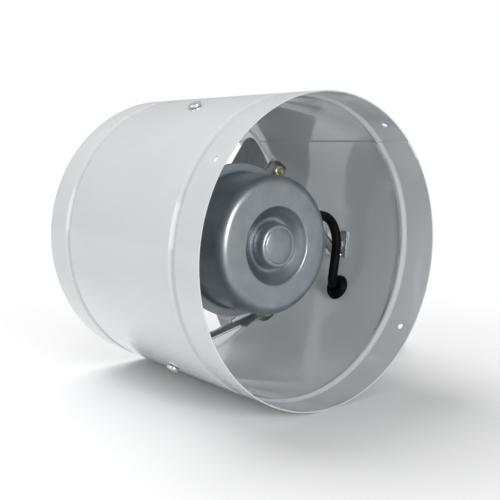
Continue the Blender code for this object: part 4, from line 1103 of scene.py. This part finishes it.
def build_ear(angle):
    """Round-cornered ear of the flange."""
    inner = MOTOR_RADIUS + 0.0045
    outer = EAR_BOLT_RADIUS + 0.0058
    middle = on_circle((inner + outer) / 2, angle, FLANGE_DEPTH + MOTOR_SHEET / 2)
    place = place_on(middle, ALONG, outward(angle))
    deselect()
    size = (outer - inner, 0.015, MOTOR_SHEET)
    bpy.ops.mesh.primitive_cube_add(size=1.0, scale=size)
    ear = bpy.context.object
    bpy.ops.object.transform_apply(scale=True)
    select_verts(ear, lambda co: co.x > 0)
    bpy.ops.mesh.select_mode(type="EDGE")
    leave()
    for edge in ear.data.edges:
        a, b = (ear.data.vertices[i].co for i in edge.vertices)
        edge.select = a.x > 0 and b.x > 0 and abs(a.z - b.z) > MOTOR_SHEET / 2
    bpy.ops.object.mode_set(mode="EDIT")
    bpy.ops.mesh.bevel(offset=0.004, segments=6, affect="EDGES")
    leave()
    select_verts(ear, lambda co: co.x < 0)
    scale(1.0, 1.3, 1.0)
    leave()
    return carry(ear, place)


class FAN_OT_motor(bpy.types.Operator):
    """Draw the motor's two cans, with their dished ends, flanges and ears"""

    bl_idname = "fan.motor"
    bl_label = "Motor case"

    def execute(self, context):
        settings = context.scene.fan_motor
        front = build_can("motor_case_front", settings, False)
        hole = drill(GLAND_HOLE_RADIUS, 0.004, MOTOR_RADIUS, GLAND_ANGLE, GLAND_DEPTH, 48)
        combine(front, [hole])
        done(front, "motor", "casing", "motor_can_front")
        rear = build_can("motor_case_rear", settings, True)
        done(rear, "motor", "casing", "motor_can_rear")
        return {"FINISHED"}


class FAN_OT_arms(bpy.types.Operator):
    """Copy the three strap arms that carry the motor and round their edges"""

    bl_idname = "fan.arms"
    bl_label = "Strap arms"

    def execute(self, context):
        for i in (1, 2, 3):
            arm = node_copy(f"strap_arm_{i}", f"arm_{i}")
            soften(arm, 0.00035, 2, 50.0)
            done(arm, "zinc", "casing", f"strap_arm_{i}")
        return {"FINISHED"}


def add_copy(pattern, node, index, place, finish):
    """A copy of a screw or a nut at its place."""
    piece = copy_of(pattern, f"{node}_fine_{index}", place)
    done(piece, finish, "casing", f"{node}_{index}", smooth=32.0)


def build_screw(grip):
    """Pan head with a cross recess over a threaded shank."""
    profile = [(0.0012, -grip), (0.0017, 0.0006 - grip)]
    pitch = 0.0007
    z = 0.0009 - grip
    while z < -pitch:
        profile += [(0.002, z), (0.002, z + 0.0001), (0.0017, z + pitch / 2)]
        z += pitch
    profile += [(0.0019, -0.0002), (0.0019, 0.0), (0.0044, 0.0), (0.0046, 0.0003)]
    profile += arc((0.0029, 0.0008), 0.0017, 0, 60, 6)
    profile += [(0.0026, 0.0024), (0.0012, 0.0025)]
    screw = turned("screw", profile, 48, HERE)
    recess = []
    for turn in (0.0, 90.0):
        at = Matrix.Rotation(radians(turn), 4, "Z") @ Matrix.Translation((0, 0, 0.0022))
        cutter = block("recess", (0.0046, 0.0009, 0.0024), at)
        select_verts(cutter, lambda co: co.z < 0.0015)
        scale(0.35, 0.35, 1.0)
        leave()
        recess.append(cutter)
    for cutter in recess:
        combine(screw, [cutter])
    return screw


def build_nut():
    """Hexagon nut with both faces chamfered and a threaded bore."""
    deselect()
    bpy.ops.mesh.primitive_cylinder_add(vertices=6, radius=0.00415, depth=0.0032)
    nut = bpy.context.object
    carry(nut, Matrix.Translation((0.0, 0.0, 0.0016)) @ Matrix.Rotation(pi / 6, 4, "Z"))
    cone = [(0.0034, 0.0), (0.0045, 0.0006), (0.0045, 0.0026), (0.0034, 0.0032)]
    combine(nut, [turned("cone", cone, 64, HERE)], "INTERSECT")
    bore = [(0.0025, -0.0002), (0.0021, 0.0005)]
    for i in range(6):
        z = 0.0006 + 0.00035 * i
        bore.append((0.0021 + 0.0002 * (i % 2), z))
    bore += [(0.0021, 0.0027), (0.0025, 0.0034)]
    combine(nut, [turned("bore", bore, 40, HERE)])
    return nut


class FAN_OT_fasteners(bpy.types.Operator):
    """Make the pan-head screws and hexagon nuts of the feet and the ears"""

    bl_idname = "fan.fasteners"
    bl_label = "Screws and nuts"

    def execute(self, context):
        nut = build_nut()
        foot = build_screw(0.0008 + FOOT_SHEET + 0.0009 + 0.0054)
        ear = build_screw(2 * MOTOR_SHEET + FOOT_SHEET + 0.0012 + 0.0054)
        for i, (ear_angle, foot_angle) in enumerate(zip(EARS, FEET), 1):
            head = seat_at(OUTSIDE_RADIUS + GAP, foot_angle, FOOT_DEPTH)
            seat = on_circle(BORE_RADIUS - FOOT_SHEET - 2 * GAP, foot_angle, FOOT_DEPTH)
            add_copy(foot, "foot_screw", i, head, "zinc")
            add_copy(nut, "foot_nut", i, place_on(seat, -outward(foot_angle), ALONG), "zinc")
            way = outward(ear_angle)
            head = on_circle(EAR_BOLT_RADIUS, ear_angle, ARM_TAB_DEPTH + FOOT_SHEET + GAP)
            seat = on_circle(EAR_BOLT_RADIUS, ear_angle, FLANGE_DEPTH - GAP)
            add_copy(ear, "ear_screw", i, place_on(head, ALONG, way), "yellow")
            add_copy(nut, "ear_nut", i, place_on(seat, -ALONG, way), "yellow")
        discard(nut, foot, ear)
        return {"FINISHED"}


def sheet_depth(behind):
    """Depth of the blade's sheet this many degrees behind its leading edge."""
    return BLADE_FRONT_DEPTH + BLADE_DEPTH * behind / BLADE_CHORD


def corner_drop(distance, corner):
    """How far a round corner pulls the outline in, this far from the side edge."""
    if distance >= corner:
        return 0.0
    return corner - sqrt(corner ** 2 - (corner - distance) ** 2)


def build_blade(index, lead, settings):
    """One blade, pressed on its screw surface with round corners and edges."""
    turn = radians(BLADE_CHORD)

    def lay(u, v):
        u = (1 - cos(pi * u)) / 2
        edge = min(u, 1 - u) * turn
        root = settings.root_radius
        tip = settings.tip_radius
        low = root + corner_drop(edge * root, settings.corner)
        high = tip - corner_drop(edge * tip, settings.corner)
        behind = u * BLADE_CHORD
        return on_circle(low + (high - low) * v, lead - behind, sheet_depth(behind))

    blade = sheet(f"blade_{index}", 48, 24, lay)
    face_forward(blade)
    thicken(blade, settings.blade_sheet, -1.0)
    soften(blade, 0.0002, 2, 50.0)
    node = f"impeller_blade_{index}"
    done(blade, "blades", "rotor", node, smooth=40.0)


def face_forward(piece):
    """Turn a sheet's faces to the motor, so that its thickness goes behind."""
    edit(piece, "VERT", "SELECT")
    bpy.ops.mesh.remove_doubles(threshold=MERGE)
    leave()
    total = sum((face.normal * face.area for face in piece.data.polygons), Vector())
    if total.y > 0:
        edit(piece, "VERT", "SELECT")
        bpy.ops.mesh.flip_normals()
        leave()


def sheet_normal(radius, angle):
    """Unit vector square to the blade's sheet at a point, facing the motor."""
    turn = radians(angle)
    step = Vector((-sin(turn) * radius, 0.0, cos(turn) * radius))
    step.y = -BLADE_DEPTH / radians(BLADE_CHORD)
    normal = step.cross(outward(angle)).normalized()
    return normal if normal.y < 0 else -normal


def build_spider(settings):
    """The disc and its five arms, which twist from the disc's plane to the blades' pitch."""
    half = settings.arm_angle / 2
    inner = SPIDER_BORE
    outer = settings.arm_radius + 0.001
    middles = [lead - BLADE_CHORD / 2 for lead in BLADE_LEADS]

    def ease(share):
        share = min(1.0, max(0.0, share))
        return share * share * (3 - 2 * share)

    def lay(u, v):
        angle = 360.0 * u
        off = min(((angle - middle + 180.0) % 360.0 - 180.0 for middle in middles), key=abs)
        radius = inner + (outer - inner) * v
        twist = ease((radius - settings.spider_radius + 0.004) / 0.012)
        twist *= 1 - ease((abs(off) - half) / 8.0)
        slope = max(-half - 1.0, min(half + 1.0, off))
        lift = settings.blade_sheet + 0.0005
        depth = SPIDER_DEPTH + twist * (lift - BLADE_DEPTH * slope / BLADE_CHORD)
        return on_circle(radius, angle, depth)

    spider = sheet("spider", 360, 42, lay)
    face_forward(spider)
    thicken(spider, settings.spider_sheet, -1.0)
    combine(spider, [spider_outline(middles, settings)], "INTERSECT")
    done(spider, "blades", "rotor", "impeller_spider", smooth=40.0)


def spider_outline(middles, settings):
    """Cutter with the outline of the disc and its arms, filleted and with round ends."""
    half = settings.arm_angle / 2
    disc = settings.spider_radius
    reach = settings.arm_radius
    fillet, corner = 0.005, 0.004
    side = []
    for t in range(0, 91, 10):
        turn = radians(t)
        away = degrees(fillet * (1 - sin(turn)) / disc)
        side.append((disc + fillet * (1 - cos(turn)), half + away))
    for t in range(0, 91, 10):
        turn = radians(t)
        away = degrees(corner * (1 - cos(turn)) / reach)
        side.append((reach - corner * (1 - sin(turn)), half - away))
    outline = []
    for middle in middles:
        outline += [on_circle(radius, middle - off, 0.148) for radius, off in side]
        outline += [on_circle(radius, middle + off, 0.148) for radius, off in side[::-1]]
        start = middle + side[0][1]
        span = 72.0 - 2 * side[0][1]
        outline += [on_circle(disc, start + span * i / 12, 0.148) for i in range(1, 12)]
    deselect()
    bpy.ops.mesh.primitive_circle_add(vertices=len(outline), radius=1.0, fill_type="NGON")
    cutter = bpy.context.object
    for vertex, place in zip(cutter.data.vertices, outline):
        vertex.co = place
    edit(cutter, "VERT", "SELECT")
    bpy.ops.mesh.extrude_region_move(TRANSFORM_OT_translate={"value": (0.0, 0.014, 0.0)})
    face_outwards()
    return cutter


def build_rivet():
    """Dome-headed rivet through the blade and the spider's arm."""
    grip = 0.00358
    profile = [(0.0004, -grip - 0.0011), (0.0020, -grip - 0.0010)]
    profile += [(0.0026, -grip - 0.0006), (0.0027, -grip), (0.0016, -grip), (0.0016, 0.0)]
    profile += [(0.0029, 0.0), (0.0030, 0.0002)]
    profile += arc((0.0, -0.0032), 0.0043, 46, 85, 8)
    return turned("rivet", profile, 32, HERE)


def build_hub():
    """Hub with its collar and set screw, and the shaft."""
    front = HUB_FRONT_DEPTH
    collar = SPIDER_DEPTH - 0.0035
    back = SPIDER_DEPTH - GAP
    rear = front + HUB_LENGTH
    bore = 0.0041
    hub = [(bore, front + 0.0005), (bore + 0.0005, front), (0.0102, front)]
    hub += [(0.011, front + 0.0008), (0.011, collar - 0.001), (0.0114, collar - 0.0002)]
    hub += [(0.0121, collar), (0.0150, collar), (0.0155, collar + 0.0005)]
    hub += [(0.0155, back - 0.0004), (0.0151, back), (0.011, back), (0.011, rear - 0.0007)]
    hub += [(0.0103, rear), (bore + 0.0005, rear), (bore, rear - 0.0005)]
    piece = turned("hub", hub, 80, closed=True)
    angle = BLADE_LEADS[0] - BLADE_CHORD / 2
    depth = (front + collar) / 2
    combine(piece, [drill(0.0023, 0.0055, 0.0075, angle, depth)])
    done(piece, "cast", "rotor", "impeller_hub")
    profile = [(0.0010, 0.0), (0.0016, 0.0003), (0.002, 0.0008), (0.002, 0.0058)]
    profile += [(0.0017, 0.0062), (0.0011, 0.0062)]
    place = seat_at(0.0043, angle, depth)
    screw = turned("set_screw", profile, 40, place)
    combine(screw, [drill(0.0011, 0.0022, 0.0043 + 0.0062, angle, depth, 6)])
    done(screw, "steel", "rotor", "hub_set_screw")
    start, end = SHAFT_ENDS
    shaft = [(0.0034, start), (0.004, start + 0.0006), (0.004, end - 0.0006), (0.0034, end)]
    piece = turned("shaft", shaft, 64)
    done(piece, "steel", "rotor", "motor_shaft")


class FAN_OT_impeller(bpy.types.Operator):
    """Press the five blades and the spider, and turn the hub, the rivets and the shaft"""

    bl_idname = "fan.impeller"
    bl_label = "Impeller"

    def execute(self, context):
        settings = context.scene.fan_impeller
        rivet = build_rivet()
        for i, lead in enumerate(BLADE_LEADS, 1):
            build_blade(i, lead, settings)
            middle = lead - BLADE_CHORD / 2
            for row, radius in enumerate((0.044, 0.056), 1):
                way = sheet_normal(radius, middle)
                seat = on_circle(radius, middle, SPIDER_DEPTH) + way * GAP
                head = copy_of(rivet, f"rivet_{i}_{row}", place_on(seat, way, outward(middle)))
                done(head, "cast", "rotor", f"blade_rivet_{i}_{row}")
        discard(rivet)
        build_spider(settings)
        build_hub()
        return {"FINISHED"}


def build_boot(settings):
    """Tapered strain relief along the first stretch of the mains lead, with soft ribs."""
    points = lead_start() + [Vector(place) for place in RUN_ROUTE[:3]]
    route = smooth_route(points, 0.0007)
    radii = []
    run = 0.0
    for start, end in zip(route, route[1:]):
        if run > settings.boot:
            break
        rib = BOOT_RIB * (1 + cos(tau * run / BOOT_PITCH)) / 2
        radii.append(BOOT_RADIUS - BOOT_TAPER * (run / settings.boot) + rib)
        run += (end - start).length
    boot = tube("boot", route[:len(radii)], 1.0, radii)
    pick(boot)
    bpy.ops.object.convert(target="MESH")
    boot = bpy.context.object
    edit(boot)
    close_up(False)
    return boot


def build_grommet(name, neck, lip, wall, height, dome, place):
    """Rubber ring with a rounded lip outside the sheet and a dome inside it."""
    bore = FLEX_RADIUS + 0.0002
    wide = neck + lip
    top = [(bore, height - 0.0004), (bore + 0.0004, height)]
    top += arc((wide - height * 0.55, height * 0.45), height * 0.55, 80, 0, 7)
    top += [(wide, 0.0004), (wide - 0.0003, GAP), (neck, GAP)]
    low = [(neck, -wall - GAP), (wide - 0.0003, -wall - GAP), (wide, -wall - 0.0004)]
    across = wide - bore - 0.0003
    for i in range(1, 9):
        turn = radians(90.0 * i / 8)
        drop = dome * sin(turn)
        low.append((bore + 0.0003 + across * cos(turn), -wall - max(drop, 0.0005)))
    low.append((bore, -wall - dome + 0.0003))
    return turned(name, top + low, 56, place, closed=True)


class FAN_OT_lead(bpy.types.Operator):
    """Lay the motor's lead inside the duct, with a rubber grommet at each end"""

    bl_idname = "fan.lead"
    bl_label = "Motor lead and grommets"

    def execute(self, context):
        settings = context.scene.fan_lead
        points = [on_circle(MOTOR_RADIUS - 0.0022, GLAND_ANGLE, GLAND_DEPTH)]
        for share, angle, forward in LEAD_ROUTE:
            radius = MOTOR_RADIUS + share * (BORE_RADIUS - MOTOR_RADIUS)
            points.append(on_circle(radius, angle, FLANGE_DEPTH - forward))
        for inside, angle in LEAD_ENTRY:
            points.append(on_circle(BORE_RADIUS - inside, angle, GROMMET_DEPTH))
        points.append(on_circle(0.1024, GROMMET_ANGLE, GROMMET_DEPTH))
        lead = tube("motor_flex", smooth_route(points, settings.step), FLEX_RADIUS)
        done(lead, "flex", "casing", "motor_lead")

        place = seat_at(MOTOR_RADIUS, GLAND_ANGLE, GLAND_DEPTH)
        gland = build_grommet("gland", 0.0052, 0.0018, 0.0026, 0.0018, 0.0018, place)
        done(gland, "rubber", "casing", "motor_gland")
        place = seat_at(RADIUS, GROMMET_ANGLE, GROMMET_DEPTH)
        ring = build_grommet("grommet", 0.0061, 0.0035, 0.0014, 0.0024, 0.0052, place)
        boot = build_boot(settings)
        combine(ring, [boot], "UNION")
        done(ring, "rubber", "casing", "wall_grommet")
        return {"FINISHED"}


class FAN_OT_inner_finishes(bpy.types.Operator):
    """Give the pieces inside the motor their finishes"""

    bl_idname = "fan.inner_finishes"
    bl_label = "Finishes inside the motor"

    finishes = {
        "bronze": ("bearing_bush", "thrust_washer"),
        "steel": ("bearing_retainer",),
        "cast": ("rotor_end_ring",),
        "core": ("rotor_core", "stator_core"),
        "copper": ("stator_winding",),
    }

    def execute(self, context):
        for finish, starts in self.finishes.items():
            for name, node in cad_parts.items():
                if name.startswith(starts):
                    node.material_slots[0].material = paint(finish)
        return {"FINISHED"}


def lay_floor():
    """White floor that keeps the fan's shadow, and is the white backdrop further off."""
    deselect()
    bpy.ops.mesh.primitive_plane_add(size=8.0, location=(0.0, 0.0, -FLOOR_GAP))
    floor = named("studio_floor")
    material = bpy.data.materials.new("studio_white")
    shader = Shader(material)
    place = shader.node("TexCoord", output="Object")
    away = shader.node("VectorMath", {0: place}, "Value", operation="LENGTH")
    limits = {"Value": away, "From Min": 0.14, "From Max": 0.4}
    fade = shader.node("MapRange", limits, interpolation_type="SMOOTHSTEP")
    camera, glossy = (
        shader.node("LightPath", output=ray)
        for ray in ("Is Camera Ray", "Is Glossy Ray")
    )
    near = shader.node("BsdfDiffuse", {"Color": (0.92, 0.92, 0.92, 1.0)})
    far = shader.node("Emission", {"Strength": 1.0 - glossy * 0.2})
    seen = shader.node("MixShader", {0: fade, 1: near, 2: far})
    lit = shader.node("BsdfDiffuse", {"Color": (0.85, 0.85, 0.85, 1.0)})
    shown = camera.math("MAXIMUM", camera, glossy)
    mix = shader.node("MixShader", {0: shown, 1: lit, 2: seen})
    shader.node("OutputMaterial", {"Surface": mix})
    floor.data.materials.append(material)


def set_world(context, settings):
    """White behind the fan and in its reflections, and plain light all round."""
    world = context.scene.world or bpy.data.worlds.new("studio_world")
    context.scene.world = world
    shader = Shader(world)
    strength = settings.world
    shown = {"Is Camera Ray": 1.0, "Is Transmission Ray": 1.0, "Is Glossy Ray": settings.mirror}
    for name, seen in shown.items():
        ray = shader.node("LightPath", output=name)
        strength = ray * (seen - settings.world) + strength
    inputs = {"Color": (1.0, 1.0, 1.0, 1.0), "Strength": strength}
    back = shader.node("Background", inputs)
    shader.node("OutputWorld", {"Surface": back})


def hang_lamp(name, place, size, power, mirrored):
    """A soft lamp aimed at the fan, shown in reflections or not."""
    deselect()
    bpy.ops.object.light_add(type="AREA", location=place)
    lamp = bpy.context.object
    lamp.name = name + "_lamp"
    way = Vector((0.0, 0.0, AXIS_HEIGHT)) - Vector(place)
    lamp.rotation_euler = way.to_track_quat("-Z", "Y").to_euler()
    lamp.data.shape = "RECTANGLE"
    lamp.data.size, lamp.data.size_y = size
    lamp.data.energy = power
    lamp.visible_camera = False
    lamp.visible_glossy = mirrored


class FAN_OT_studio(bpy.types.Operator):
    """Lay the floor and set the lamps and the world"""

    bl_idname = "fan.studio"
    bl_label = "Studio"

    def execute(self, context):
        settings = context.scene.fan_studio
        context.scene.view_settings.view_transform = "Standard"
        lay_floor()
        set_world(context, settings)
        for name, place, size, mirrored in LAMPS:
            hang_lamp(name, place, size, getattr(settings, name), mirrored)
        return {"FINISHED"}


OPERATORS = (
    FAN_OT_camera,
    FAN_OT_mains_lead,
    FAN_OT_duct,
    FAN_OT_motor,
    FAN_OT_arms,
    FAN_OT_fasteners,
    FAN_OT_impeller,
    FAN_OT_lead,
    FAN_OT_inner_finishes,
    FAN_OT_studio,
)


class FAN_PT_sidebar(bpy.types.Panel):
    """Builders of the duct fan"""

    bl_idname = "FAN_PT_sidebar"
    bl_label = "Duct Fan"
    bl_space_type = "VIEW_3D"
    bl_region_type = "UI"
    bl_category = "Duct Fan"

    def draw(self, context):
        for name, group in GROUPS.items():
            box = self.layout.box()
            box.label(text=group.__doc__)
            for key in group.__annotations__:
                box.prop(getattr(context.scene, name), key)
        for operator in OPERATORS:
            self.layout.operator(operator.bl_idname)


CLASSES = (*GROUPS.values(), *OPERATORS, FAN_PT_sidebar)


def register():
    """Register the classes and hang the settings on the scene."""
    for item in CLASSES:
        bpy.utils.register_class(item)
    for name, group in GROUPS.items():
        setattr(bpy.types.Scene, name, bpy.props.PointerProperty(type=group))


def unregister():
    """Take the settings and the classes away."""
    for name in GROUPS:
        delattr(bpy.types.Scene, name)
    for item in reversed(CLASSES):
        bpy.utils.unregister_class(item)


def main():
    """Build every piece in order."""
    register()
    for operator in OPERATORS:
        group, name = operator.bl_idname.split(".")
        getattr(getattr(bpy.ops, group), name)()


if __name__ == "__main__":
    main()
